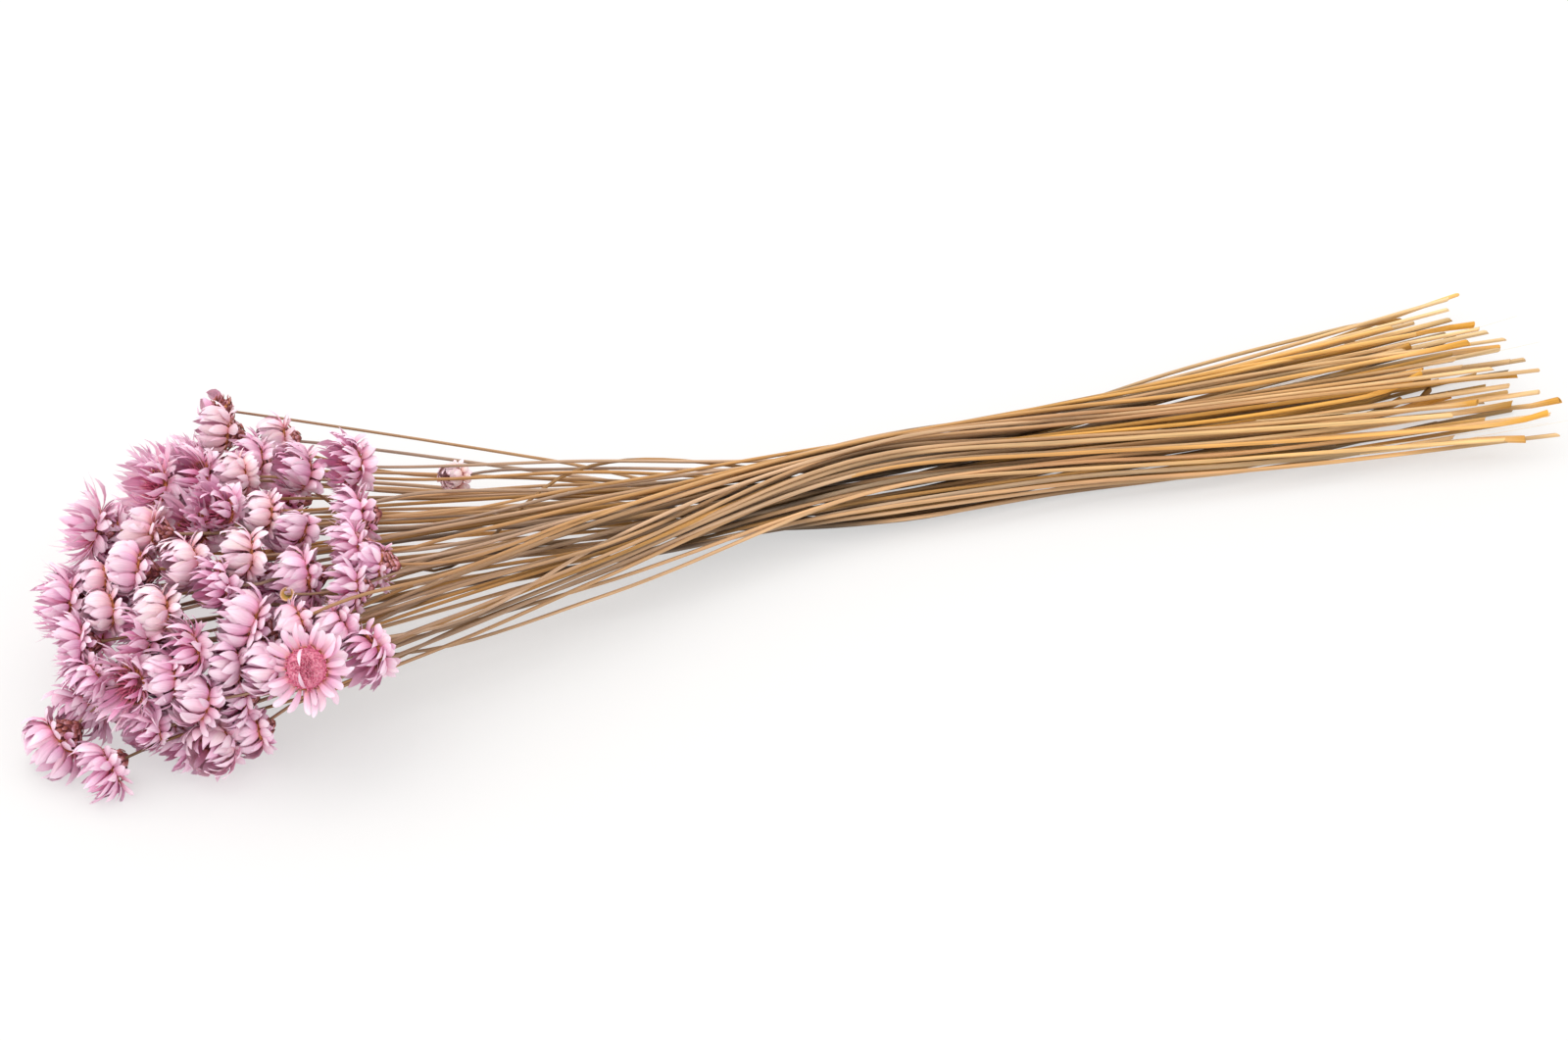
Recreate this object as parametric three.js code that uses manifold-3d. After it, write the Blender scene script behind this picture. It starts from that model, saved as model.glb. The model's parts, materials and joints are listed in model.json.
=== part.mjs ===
// A loose bunch of dried glixia, lying on its side: small papery star flowers, dyed pink, each on
// one thin straw stem. The heads heap up at -X, the stems cross in a narrow waist and their cut
// ends fan out at +X. Millimetres, +Z up, the surface that the bunch lies on at z = 0.
import * as THREE from 'three';
import { mergeVertices } from 'three/addons/utils/BufferGeometryUtils.js';
import Module from 'manifold-3d';

const wasm = await Module();
wasm.setup();

// The middle of the bunch's own box, which becomes the part's origin.
const BOX_MIDDLE = [-4.72, 10.66];

// The eye that the heads were placed from: its turn and dip in degrees, its distance and its aim.
const EYE_TURN = 18;
const EYE_DIP = 38;
const EYE_DISTANCE = 1000;
const EYE_AIM = new THREE.Vector3(-12.4, 1.6, 6);

// The heap of heads is half an ellipsoid on the surface.
const HEAP_MIDDLE = new THREE.Vector3(-160, 6, 0);
const HEAP_RADII = new THREE.Vector3(80, 70, 50);

// Heads on the heap, each read at its hinge: mm across and up in the eye's view, mm sunk below
// the heap's skin, degrees that it turns down from pointing to -X and towards the eye, its form.
const ON_HEAP = [
  [-162, 13, 6, 0, 0, 'cup'],
  [-174, 12, 5, 0, 15, 'star'],
  [-157, 16, 20, -5, 0, 'flare'],
  [-187, 10, 0, -15, 10, 'star'],
  [-182, 14, 10, -45, 0, 'star'],
  [-205, -3, 0, 0, 0, 'star'],
  [-198, -5, 13, 0, 10, 'flare'],
  [-187, -4, 0, 0, 0, 'cup'],
  [-168, 2, 4, 0, 20, 'flare'],
  [-154, 2, 2, 0, 0, 'bud'],
  [-145, -2, 5, 0, 0, 'bold'],
  [-177, -13, 0, 5, 0, 'cup'],
  [-160, -11, 0, 5, 20, 'cup'],
  [-168, -20, 0, 5, 5, 'flare'],
  [-176, -3, 10, 0, 20, 'star'],
  [-142, -17, 4, 10, 0, 'bold'],
  [-127, -9, -4, 0, 5, 'flare'],
  [-128, -20, -2, 20, 0, 'flare'],
  [-213, -25, 0, 0, 0, 'flare'],
  [-202, -18, 0, 5, 0, 'bud'],
  [-192, -15, 0, 5, 0, 'cup'],
  [-201, -27, 0, 0, 0, 'bud'],
  [-209, -37, 0, 10, 0, 'flare'],
  [-190, -36, 3, 0, 15, 'star'],
  [-185, -28, 0, 15, 0, 'cup'],
  [-205, -47, 1, 30, 0, 'flare'],
  [-176, -39, 0, 0, 20, 'star'],
  [-164, -43, 3, 5, 0, 'bold'],
  [-158, -31, 0, 0, 0, 'bold'],
  [-181, -47, 2, 20, 0, 'bold'],
  [-173, -54, 0, 10, 0, 'cup'],
  [-153, -44, -1, 20, 0, 'cup'],
  [-145, -30, -5, 25, 0, 'bud'],
  [-133, -32, 0, 20, 0, 'bold'],
  [-142, -44, -10, 0, 80, 'daisy'],
  [-154, -33, 13, 10, 0, 'flare'],
  [-139, -31, 10, 15, 0, 'flare'],
  [-194, -49, 0, 35, 35, 'star'],
  [-162, -53, 8, 10, 0, 'flare'],
  [-184, -59, 10, 20, 0, 'flare'],
  [-194, -22, 19, 0, 0, 'flare'],
];

// Heads that lie beside the heap, with their height over the surface in place of a depth.
const BESIDE_HEAP = [
  [-168, 33, 24, -8, -20, 'bud'],
  [-166, 26, 24, -15, 0, 'cup'],
  [-149, 24, 24, -5, 5, 'cup'],
  [-144, 13, 44, 0, 0, 'bold'],
  [-129, 16, 48, 0, 25, 'flare'],
  [-126, 1, 47, 0, 10, 'flare'],
  [-120, -13, 45, 0, 0, 'flare'],
  [-123, -39, 32, 25, 0, 'flare'],
  [-207, -55, 12, 65, 0, 'flare'],
  [-215, -65, 8, 45, 0, 'bold'],
  [-201, -73, 7, 25, 0, 'flare'],
  [-188, -63, 13, 20, 0, 'flare'],
  [-169, -66, 11, 60, 40, 'cup'],
  [-157, -62, 12, 35, 0, 'cup'],
  [-178, -65, 7, 40, 0, 'flare'],
  [-98, 13, 31, 10, 10, 'bud'],
];

// Tufts of three pressed heads fill the heap's far side and its underside: the place of each
// tuft's middle, and how far its heads stand round it.
const TUFTS = [
  [-215, 14, 13],
  [-199, 43, 12],
  [-176, 64, 13],
  [-182, 26, 26],
  [-152, 40, 12],
  [-198, -14, 22],
  [-170, -14, 26],
];
const TUFT_RADIUS = 7.2;
const TUFT_SPREAD = 4;
const TUFT_ROOT = new THREE.Vector3(-90, 8, 14);
const TUFT_FORMS = ['flare', 'cup', 'star', 'bold', 'flare'];

// The bare stem that has lost its head ends here, read as the heads are.
const BARE_END = [-148, -22, 0, 0, 0];

// One head, from its stem's tip along its axis: [radius, height] of each ring, a petal ring as
// its tips and its notches, and how far its petals reach for its share of the room.
const PETALS = 8;
const HINGE_HEIGHT = 5.2;
const SCALES = [2.6, 0.9];
const BRACT_TIP = [7.8, 2.5];
const BRACT_NOTCH = [5.7, 3.2];
const HINGE = [5.2, HINGE_HEIGHT];
const FORMS = {
  bud: { size: 0.84, tip: [2.8, 11], notch: [4.7, 9.2], floor: [0.7, 8.6], heart: 8.2, reach: 6.8 },
  cup: { size: 0.96, tip: [3.5, 11.8], notch: [5.1, 9.9], floor: [0.8, 9], heart: 8.5, reach: 7.2 },
  bold: { size: 1.08, tip: [5, 12], notch: [6.1, 10], floor: [1.3, 8.8], heart: 8.2, reach: 7.6 },
  flare: { size: 1, tip: [7.5, 11.6], notch: [5.6, 9.6], floor: [1.7, 7.8], heart: 6.8, reach: 7.6 },
  star: { size: 1.04, tip: [9.8, 10.2], notch: [5.7, 8.7], floor: [2.2, 7.4], heart: 6.6, reach: 8 },
  daisy: { size: 1.12, tip: [10.8, 7.8], notch: [7, 7.1], floor: [4.6, 7.3], heart: 7.1, reach: 8.5 },
};
const SIZE_SPREAD = 0.12;

// Stems: square-edged straws, by the half width of their flats.
const STEM_HALF = 0.6;
const STEM_REACH = STEM_HALF * Math.SQRT2;
const NECK = 4.5;
const STATIONS = [-185, -155, -120, -75, 20, 75, 125];
const STATION_CLEAR = 12;
const SHORT_SHARE = 0.1;
const SHORT_END = 160;
const FIRST_END = 188;
const LAST_END = 232;

// The bunch of stems is a twisted hourglass: its half width, half height, middle and turn in
// degrees along X. The rows of stems lie flat at the cut ends and nearly stand up in the heap.
const SHAPE_X = [-240, -190, -150, -110, -70, -30, 10, 50, 100, 150, 200, 245];
const HALF_WIDTH = [70, 66, 52, 37, 25, 18.5, 16.5, 17, 22, 31, 39, 44];
const HALF_HEIGHT = [26, 25, 21.5, 17, 13.5, 11.5, 10.8, 10, 9, 8.5, 9, 9];
const MIDDLE_Y = [4, 5, 6, 7, 7, 7, 7, 7, 6, 5, 4, 3];
const TURN = [75, 69, 61, 46, 13, -29, -40, -30, -18, -10, -5, -3];
const SETTLE = 0.88;

// At the waist the stems lie in rows, bottom to top. Each row is one strand, whose neighbours
// touch in turn at the stations named here.
const ROWS = [8, 11, 13, 14, 13, 12, 8];
const ROW_PITCH = 0.29;
const ROW_FILL = 0.96;
// A stem strays from its even place by these shares across and down, and its cut end by these mm.
const ACROSS_JITTER = 0.04;
const DOWN_JITTER = 0.1;
const END_JITTER = 5;
const TOUCH_STATIONS = [20, 75];
const TOUCH_SPACING = 1.1;
const LOOSE_FROM = 20;

// Heads pressed into each other are gathered into clusters, down to this many, by these limits:
// mm between them, heads in a cluster and mm3 that they share.
const CLUSTERS = 52;
const CLUSTER_NEAR = 16;
const CLUSTER_MOST = 3;
const CLUSTER_PRESS = 0.05;

// Room that pieces keep from each other, and how far off another piece still crowds a head.
const GAP = 0.3;
const STEM_CLEAR = 2 * STEM_REACH + GAP + 0.08;
const HEAD_CLEAR = 5.8;
const HEADS_WITHIN = 40;
const STEMS_WITHIN = 20;

// The stems are spread in rounds, at places this far apart, by a share of what they lack.
const STEP = 5;
const ROUNDS = 160;
const PUSH = 0.5;
const LEAST_WEIGHT = 0.25;
const NO_LENGTH = 1e-6;

// Points of a solid that are closer than this are one.
const MERGE_WITHIN = 1e-4;

const LILAC = '#dfa3c8';
const PALE = '#f0d3e2';
const DEEP = '#c9689f';
const COLOURS = { bud: PALE, cup: PALE, bold: LILAC, flare: LILAC, star: DEEP, daisy: DEEP };
const STRAW = '#b39462';
const UP = new THREE.Vector3(0, 0, 1);

// A repeatable draw between 0 and 1 for each head or stem.
function draw(index, salt) {
  const wave = Math.sin(index * 12.9898 + salt * 78.233) * 43758.5453;
  return wave - Math.floor(wave);
}

// The value of a hand-drawn curve at x, straight between its points.
function along(xs, values, x) {
  let i = 0;
  while (i < xs.length - 2 && x > xs[i + 1]) i += 1;
  const t = Math.min(Math.max((x - xs[i]) / (xs[i + 1] - xs[i]), 0), 1);
  return values[i] + (values[i + 1] - values[i]) * t;
}

// The eye: its place and the right, upward and forward directions of its view.
function makeEye() {
  const turn = THREE.MathUtils.degToRad(EYE_TURN);
  const dip = THREE.MathUtils.degToRad(EYE_DIP);
  const right = new THREE.Vector3(Math.cos(turn), -Math.sin(turn), 0);
  const forward = new THREE.Vector3(
    Math.sin(turn) * Math.cos(dip),
    Math.cos(turn) * Math.cos(dip),
    -Math.sin(dip),
  );
  const upward = new THREE.Vector3().crossVectors(right, forward);
  const place = EYE_AIM.clone().addScaledVector(forward, -EYE_DISTANCE);
  return { place, right, upward, forward };
}

const eye = makeEye();

// The direction from the eye through a place read in its view.
function sightLine(across, up) {
  return eye.forward
    .clone()
    .multiplyScalar(EYE_DISTANCE)
    .addScaledVector(eye.right, across)
    .addScaledVector(eye.upward, up)
    .normalize();
}

// Where a line of sight meets the heap's skin, and then goes on by the depth sunk.
function onHeap(across, up, sunk) {
  const line = sightLine(across, up);
  const start = eye.place.clone().sub(HEAP_MIDDLE).divide(HEAP_RADII);
  const run = line.clone().divide(HEAP_RADII);
  const a = run.dot(run);
  const b = start.dot(run);
  const c = start.dot(start) - 1;
  const distance = (-b - Math.sqrt(Math.max(b * b - a * c, 0))) / a;
  return eye.place.clone().addScaledVector(line, distance + sunk);
}

// Where a line of sight comes down to a height over the surface.
function atHeight(across, up, height) {
  const line = sightLine(across, up);
  return eye.place.clone().addScaledVector(line, (height - eye.place.z) / line.z);
}

// A head's axis: pointing left in the eye's view, turned down and then towards the eye.
function axisOf(turn, toward) {
  const down = THREE.MathUtils.degToRad(turn);
  const near = THREE.MathUtils.degToRad(toward);
  return eye.right
    .clone()
    .multiplyScalar(-Math.cos(down) * Math.cos(near))
    .addScaledVector(eye.upward, -Math.sin(down) * Math.cos(near))
    .addScaledVector(eye.forward, -Math.sin(near));
}

// Every head: its hinge's place, its axis, form, size and the tip of its stem.
function placeHeads() {
  const heads = [];
  const add = (place, axis, form) => {
    const index = heads.length;
    const size = FORMS[form].size * (1 + SIZE_SPREAD * (draw(index, 1) - 0.5));
    const tip = place.clone().addScaledVector(axis, -HINGE_HEIGHT * size);
    heads.push({ index, place, axis, form, size, tip, reach: FORMS[form].reach * size });
  };
  for (const [across, up, sunk, turn, toward, form] of ON_HEAP) {
    add(onHeap(across, up, sunk), axisOf(turn, toward), form);
  }
  for (const [across, up, height, turn, toward, form] of BESIDE_HEAP) {
    add(atHeight(across, up, height), axisOf(turn, toward), form);
  }
  for (const middle of TUFTS) {
    const centre = new THREE.Vector3(...middle);
    const axis = centre.clone().sub(TUFT_ROOT).normalize();
    const side = new THREE.Vector3().crossVectors(axis, UP).normalize();
    const over = new THREE.Vector3().crossVectors(side, axis);
    const turn = 2 * Math.PI * draw(heads.length, 3);
    for (let k = 0; k < 3; k += 1) {
      const angle = turn + (2 * Math.PI * k) / 3;
      const place = centre
        .clone()
        .addScaledVector(side, TUFT_RADIUS * Math.cos(angle))
        .addScaledVector(over, TUFT_RADIUS * Math.sin(angle))
        .addScaledVector(axis, TUFT_SPREAD * (draw(heads.length, 4) - 0.5));
      add(place, axis, TUFT_FORMS[heads.length % TUFT_FORMS.length]);
    }
  }
  return heads;
}

// How far the bunch has turned at x.
function twistAt(x) {
  return THREE.MathUtils.degToRad(along(SHAPE_X, TURN, x));
}

// A place across the bunch at x, from a slot (u, v) in a unit disc.
function slotPlace(x, u, v) {
  const angle = twistAt(x);
  const tall = along(SHAPE_X, HALF_HEIGHT, x);
  const y = along(SHAPE_X, HALF_WIDTH, x) * (u * Math.cos(angle) - v * Math.sin(angle));
  const z = tall * (u * Math.sin(angle) + v * Math.cos(angle));
  return [along(SHAPE_X, MIDDLE_Y, x) + y, z + tall * SETTLE + STEM_HALF];
}

// The slot that a place in the bunch would have, the other way round.
function slotOf(point) {
  const angle = twistAt(point.x);
  const tall = along(SHAPE_X, HALF_HEIGHT, point.x);
  const y = (point.y - along(SHAPE_X, MIDDLE_Y, point.x)) / along(SHAPE_X, HALF_WIDTH, point.x);
  const z = (point.z - STEM_HALF - tall * SETTLE) / tall;
  return [
    y * Math.cos(angle) + z * Math.sin(angle),
    z * Math.cos(angle) - y * Math.sin(angle),
  ];
}

// Each stem starts at its head, or at the bare end, and takes the nearest free slot in the rows:
// the stems are sorted by height into rows, and across within a row.
function makeStems(heads) {
  const stems = heads.map((head) => ({
    head,
    start: head.tip,
    neck: head.tip.clone().addScaledVector(head.axis, -NECK),
  }));
  const [across, up, sunk, turn, toward] = BARE_END;
  const end = onHeap(across, up, sunk);
  const axis = axisOf(turn, toward);
  stems.push({ head: null, axis, start: end, neck: end.clone().addScaledVector(axis, -NECK) });
  stems.forEach((stem, index) => {
    stem.index = index;
    stem.axis = stem.head ? stem.head.axis : stem.axis;
    stem.wish = slotOf(stem.neck);
  });
  const byHeight = [...stems].sort((a, b) => a.wish[1] - b.wish[1]);
  let taken = 0;
  ROWS.forEach((count, row) => {
    const members = byHeight.slice(taken, taken + count).sort((a, b) => a.wish[0] - b.wish[0]);
    taken += count;
    const v = (row - (ROWS.length - 1) / 2) * ROW_PITCH;
    const half = Math.sqrt(1 - v * v) * ROW_FILL;
    members.forEach((stem, place) => {
      stem.row = row;
      stem.place = place;
      stem.slot = [
        half * ((2 * (place + 0.5)) / members.length - 1) + ACROSS_JITTER * (2 * draw(stem.index, 7) - 1),
        v + DOWN_JITTER * (2 * draw(stem.index, 8) - 1),
      ];
    });
  });
  for (const stem of stems) routeStem(stem);
  return stems;
}

// A stem's first route: from its neck straight to where its slot's line leaves the waist, and
// along that line to its cut end.
function routeStem(stem) {
  const pick = draw(stem.index, 5);
  const long = FIRST_END + (LAST_END - FIRST_END) * draw(stem.index, 6);
  stem.endX = pick < SHORT_SHARE ? SHORT_END + pick / SHORT_SHARE : long;
  stem.points = [{ x: stem.neck.x, y: stem.neck.y, z: stem.neck.z }];
  STATIONS.forEach((x) => {
    if (x < stem.neck.x + STATION_CLEAR || x > stem.endX - STATION_CLEAR) return;
    const t = THREE.MathUtils.clamp((LOOSE_FROM - x) / (LOOSE_FROM - stem.neck.x), 0, 1);
    const [y, z] = slotPlace(Math.max(x, LOOSE_FROM), ...stem.slot);
    stem.points.push({ x, y: y + (stem.neck.y - y) * t, z: z + (stem.neck.z - z) * t });
  });
  const [endY, endZ] = slotPlace(stem.endX, ...stem.slot);
  const aside = END_JITTER * (2 * draw(stem.index, 9) - 1);
  stem.points.push({ x: stem.endX, y: endY + aside, z: endZ });
}

// A stem's place at x, with the points that it lies between and its share of each.
function stemAt(stem, x) {
  if (x < stem.start.x || x > stem.endX) return null;
  let before = stem.start;
  for (const after of stem.points) {
    if (x <= after.x) {
      const t = (x - before.x) / (after.x - before.x);
      const y = before.y + (after.y - before.y) * t;
      const z = before.z + (after.z - before.z) * t;
      return { y, z, t, before, after };
    }
    before = after;
  }
  return null;
}

// Shares a sideways move of a stem at one place out to the two points that it lies between.
function pushStem(at, y, z) {
  const weight = Math.max(at.t * at.t + (1 - at.t) ** 2, LEAST_WEIGHT);
  for (const [point, share] of [[at.before, 1 - at.t], [at.after, at.t]]) {
    point.moveY = (point.moveY || 0) + (y * share) / weight;
    point.moveZ = (point.moveZ || 0) + (z * share) / weight;
  }
}

// Whether two stems are neighbours in a strand that touch at this station.
function touching(a, b, x) {
  const turnOf = TOUCH_STATIONS.indexOf(x);
  return turnOf >= 0 && a.row === b.row && Math.abs(a.place - b.place) === 1
    && Math.min(a.place, b.place) % 2 === turnOf;
}

// Spreads the stems: those of different strands are pushed clear of each other and all of them
// clear of the heads, neighbours in a strand are drawn together where they touch. Necks stay.
function spreadStems(stems, heads) {
  const places = [...TOUCH_STATIONS];
  for (let x = STATIONS[0]; x <= LAST_END; x += STEP) places.push(x);
  for (let round = 0; round < ROUNDS; round += 1) {
    for (const x of places) {
      const at = stems.map((stem) => stemAt(stem, x));
      for (let i = 0; i < stems.length; i += 1) {
        if (!at[i]) continue;
        for (let j = i + 1; j < stems.length; j += 1) {
          if (!at[j]) continue;
          const y = at[j].y - at[i].y;
          const z = at[j].z - at[i].z;
          const far = Math.hypot(y, z) || NO_LENGTH;
          const drawn = touching(stems[i], stems[j], x);
          const loose = stems[i].row !== stems[j].row && far < STEM_CLEAR;
          if (!drawn && !loose) continue;
          const move = (PUSH * ((drawn ? TOUCH_SPACING : STEM_CLEAR) - far)) / far;
          pushStem(at[i], -y * move, -z * move);
          pushStem(at[j], y * move, z * move);
        }
        for (const head of heads) {
          if (head === stems[i].head) continue;
          const aside = head.place.x - x;
          const clear = Math.sqrt(Math.max(HEAD_CLEAR ** 2 - aside * aside, 0));
          const y = at[i].y - head.place.y;
          const z = at[i].z - head.place.z;
          const far = Math.hypot(y, z) || NO_LENGTH;
          if (far >= clear) continue;
          const move = (PUSH * (clear - far)) / far;
          pushStem(at[i], y * move, z * move);
        }
      }
    }
    for (const stem of stems) {
      for (const point of stem.points.slice(1)) {
        point.y += PUSH * (point.moveY || 0);
        point.z = Math.max(point.z + PUSH * (point.moveZ || 0), STEM_HALF);
        point.moveY = 0;
        point.moveZ = 0;
      }
    }
  }
}

// A closed solid from world-space vertices and triangles.
function solidFrom(vertices, triangles) {
  const places = vertices.flatMap((v) => v.toArray());
  const geometry = new THREE.BufferGeometry();
  geometry.setAttribute('position', new THREE.Float32BufferAttribute(places, 3));
  geometry.setIndex(triangles.flat());
  const merged = mergeVertices(geometry, MERGE_WITHIN);
  const mesh = new wasm.Mesh({
    numProp: 3,
    vertProperties: merged.attributes.position.array,
    triVerts: new Uint32Array(merged.index.array),
  });
  return new wasm.Manifold(mesh);
}

// A named mesh from a solid.
function meshFrom(name, solid, colour, roughness) {
  const { vertProperties, triVerts } = solid.getMesh();
  const geometry = new THREE.BufferGeometry();
  geometry.setAttribute('position', new THREE.BufferAttribute(new Float32Array(vertProperties), 3));
  geometry.setIndex(new THREE.BufferAttribute(new Uint32Array(triVerts), 1));
  const flat = geometry.toNonIndexed();
  flat.computeVertexNormals();
  const material = new THREE.MeshStandardMaterial({ color: colour, roughness, metalness: 0 });
  const mesh = new THREE.Mesh(flat, material);
  mesh.name = name;
  return mesh;
}

// The points that a stem runs through, from its head to its cut end.
function spineOf(stem) {
  return [stem.start, ...stem.points.map((p) => new THREE.Vector3(p.x, p.y, p.z))];
}

// The four corners of a stem's section at a point, square to the direction it runs in.
function sectionAt(point, direction) {
  const side = new THREE.Vector3().crossVectors(direction, UP).normalize();
  const over = new THREE.Vector3().crossVectors(side, direction).normalize();
  return [[1, -1], [1, 1], [-1, 1], [-1, -1]].map(([s, o]) => point
    .clone()
    .addScaledVector(side, s * STEM_HALF)
    .addScaledVector(over, o * STEM_HALF));
}

// One stem as a square tube from its head to its cut end. Past the neck its sections are
// square to X, so that a stem on the surface lies on a true flat.
function stemSolid(stem) {
  const run = new THREE.Vector3(1, 0, 0);
  const [neck, first, ...others] = spineOf(stem).slice(1);
  const back = stem.axis.clone().negate();
  const bend = back.clone().add(first.clone().sub(neck).normalize()).normalize();
  const rings = [
    sectionAt(stem.start, back),
    sectionAt(neck, bend),
    ...[first, ...others].map((point) => sectionAt(point, run)),
  ];
  const vertices = rings.flat();
  vertices.forEach((v) => {
    v.z = Math.max(v.z, 0);
  });
  const triangles = [[0, 1, 2], [0, 2, 3]];
  for (let ring = 0; ring < rings.length - 1; ring += 1) {
    for (let k = 0; k < 4; k += 1) {
      const a = ring * 4 + k;
      const b = ring * 4 + ((k + 1) % 4);
      triangles.push([a, a + 4, b + 4], [a, b + 4, b]);
    }
  }
  const last = vertices.length - 4;
  triangles.push([last, last + 2, last + 1], [last, last + 3, last + 2]);
  return solidFrom(vertices, triangles);
}

// The point of a stretch from a to b that is nearest to a place.
function nearestOn(a, b, place) {
  return new THREE.Line3(a, b).closestPointToPoint(place, true, new THREE.Vector3());
}

// The room that a head may fill: flat walls, each a direction and a distance from its hinge's
// middle, towards the surface, the other heads and every stretch of stem.
function roomOf(head, heads, stems) {
  const walls = [{ out: UP.clone().negate(), room: head.place.z }];
  for (const other of heads) {
    if (other.cluster === head.cluster) continue;
    const out = other.place.clone().sub(head.place);
    const far = out.length();
    if (far > HEADS_WITHIN) continue;
    const share = (far * head.reach) / (head.reach + other.reach);
    walls.push({ out: out.normalize(), room: share - GAP / 2 });
  }
  for (const stem of stems) {
    const own = stem.head === head;
    const spine = spineOf(stem);
    for (let k = 0; k < spine.length - 1; k += 1) {
      const out = nearestOn(spine[k], spine[k + 1], head.place).sub(head.place);
      const far = out.length();
      if (far > STEMS_WITHIN) continue;
      walls.push({ out: out.normalize(), room: far - GAP - (own && k === 0 ? 0 : STEM_REACH) });
    }
  }
  return walls;
}

// One ring of a head: a plain ring, or a petal ring whose points are tips and notches in turn.
function ringPoints(tip, notch, turn) {
  const count = notch ? 2 * PETALS : PETALS;
  return Array.from({ length: count }, (_, k) => {
    const [radius, height] = notch && k % 2 ? notch : tip;
    const angle = turn + (2 * Math.PI * k) / count;
    return new THREE.Vector3(radius * Math.cos(angle), radius * Math.sin(angle), height);
  });
}

// Joins a ring of n points to a ring of 2n, or of 2n to n, the lower one first.
function joinRings(low, high, lowCount, highCount) {
  const triangles = [];
  for (let k = 0; k < PETALS; k += 1) {
    const next = (k + 1) % PETALS;
    if (lowCount < highCount) {
      const [a, b] = [low + k, low + next];
      const [c, d, e] = [high + 2 * k, high + 2 * k + 1, high + 2 * next];
      triangles.push([a, d, c], [a, b, d], [b, e, d]);
    } else {
      const [a, b, c] = [low + 2 * k, low + 2 * k + 1, low + 2 * next];
      const [d, e] = [high + k, high + next];
      triangles.push([a, b, d], [b, e, d], [b, c, e]);
    }
  }
  return triangles;
}

// One head: a cone of scales, a ring of bracts that splay back, the hinge and a ring of petals
// round a hollow. Each point is drawn in towards the hinge's middle until it is in its room.
function headSolid(head, walls) {
  const form = FORMS[head.form];
  const turn = 2 * Math.PI * draw(head.index, 2);
  const rings = [
    [new THREE.Vector3(0, 0, 0)],
    ringPoints(SCALES, null, turn),
    ringPoints(BRACT_TIP, BRACT_NOTCH, turn),
    ringPoints(HINGE, null, turn),
    ringPoints(form.tip, form.notch, turn),
    ringPoints(form.floor, null, turn),
    [new THREE.Vector3(0, 0, form.heart)],
  ];
  const facing = new THREE.Quaternion().setFromUnitVectors(UP, head.axis);
  const vertices = rings.flat().map((local) => {
    const arm = local
      .sub(new THREE.Vector3(0, 0, HINGE_HEIGHT))
      .multiplyScalar(head.size)
      .applyQuaternion(facing);
    let share = 1;
    for (const { out, room } of walls) {
      const reach = out.dot(arm);
      if (reach > 0) share = Math.min(share, room / reach);
    }
    return arm.multiplyScalar(share).add(head.place);
  });
  const starts = rings.map((_, ring) => rings.slice(0, ring).flat().length);
  const triangles = [];
  for (let k = 0; k < PETALS; k += 1) {
    const next = (k + 1) % PETALS;
    triangles.push([0, starts[1] + next, starts[1] + k]);
    triangles.push([starts[5] + k, starts[5] + next, starts[6]]);
  }
  for (let ring = 1; ring < 5; ring += 1) {
    const [low, high] = [rings[ring].length, rings[ring + 1].length];
    triangles.push(...joinRings(starts[ring], starts[ring + 1], low, high));
  }
  return solidFrom(vertices, triangles);
}

// Gathers heads that are pressed into each other, the closest first, into clusters that each
// make one body.
function clusterHeads(heads, stems) {
  const close = [];
  for (const a of heads) {
    a.cluster = [a];
    for (const b of heads.slice(a.index + 1)) {
      const far = a.place.distanceTo(b.place);
      if (far < CLUSTER_NEAR) close.push({ a, b, far });
    }
  }
  close.sort((one, two) => one.far - two.far);
  let count = heads.length;
  for (const { a, b } of close) {
    const apart = [a.cluster, b.cluster];
    if (count === CLUSTERS || a.cluster === b.cluster) continue;
    if (apart[0].length + apart[1].length > CLUSTER_MOST) continue;
    const joined = [...a.cluster, ...b.cluster];
    for (const head of joined) head.cluster = joined;
    const pressed = headSolid(a, roomOf(a, heads, stems))
      .intersect(headSolid(b, roomOf(b, heads, stems)))
      .volume();
    if (pressed > CLUSTER_PRESS) {
      count -= 1;
    } else {
      for (const cluster of apart) for (const head of cluster) head.cluster = cluster;
    }
  }
}

const heads = placeHeads();
const stems = makeStems(heads);
spreadStems(stems, heads);
clusterHeads(heads, stems);

const group = new THREE.Group();
group.position.set(-BOX_MIDDLE[0], -BOX_MIDDLE[1], 0);

ROWS.forEach((_, row) => {
  const strand = stems.filter((stem) => stem.row === row).map(stemSolid);
  const solid = strand.reduce((whole, stem) => whole.add(stem));
  group.add(meshFrom(`stem_strand_${row + 1}`, solid, STRAW, 0.8));
});

for (const cluster of new Set(heads.map((head) => head.cluster))) {
  const solids = cluster.map((head) => headSolid(head, roomOf(head, heads, stems)));
  const solid = solids.reduce((whole, part) => whole.add(part));
  const name = cluster.map((head) => head.index + 1).sort((a, b) => a - b).join('_');
  group.add(meshFrom(`bloom_${name}`, solid, COLOURS[cluster[0].form], 0.75));
}

export default group;
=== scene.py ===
"""A loose bunch of dried glixia on a pale surface: papery pink star flowers on thin straw stems.
Heads and stems are placed by the part's own rules in millimetres, then dressed bract by bract."""
import json
import math

import bpy
import numpy as np
from mathutils import Matrix, Vector

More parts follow.
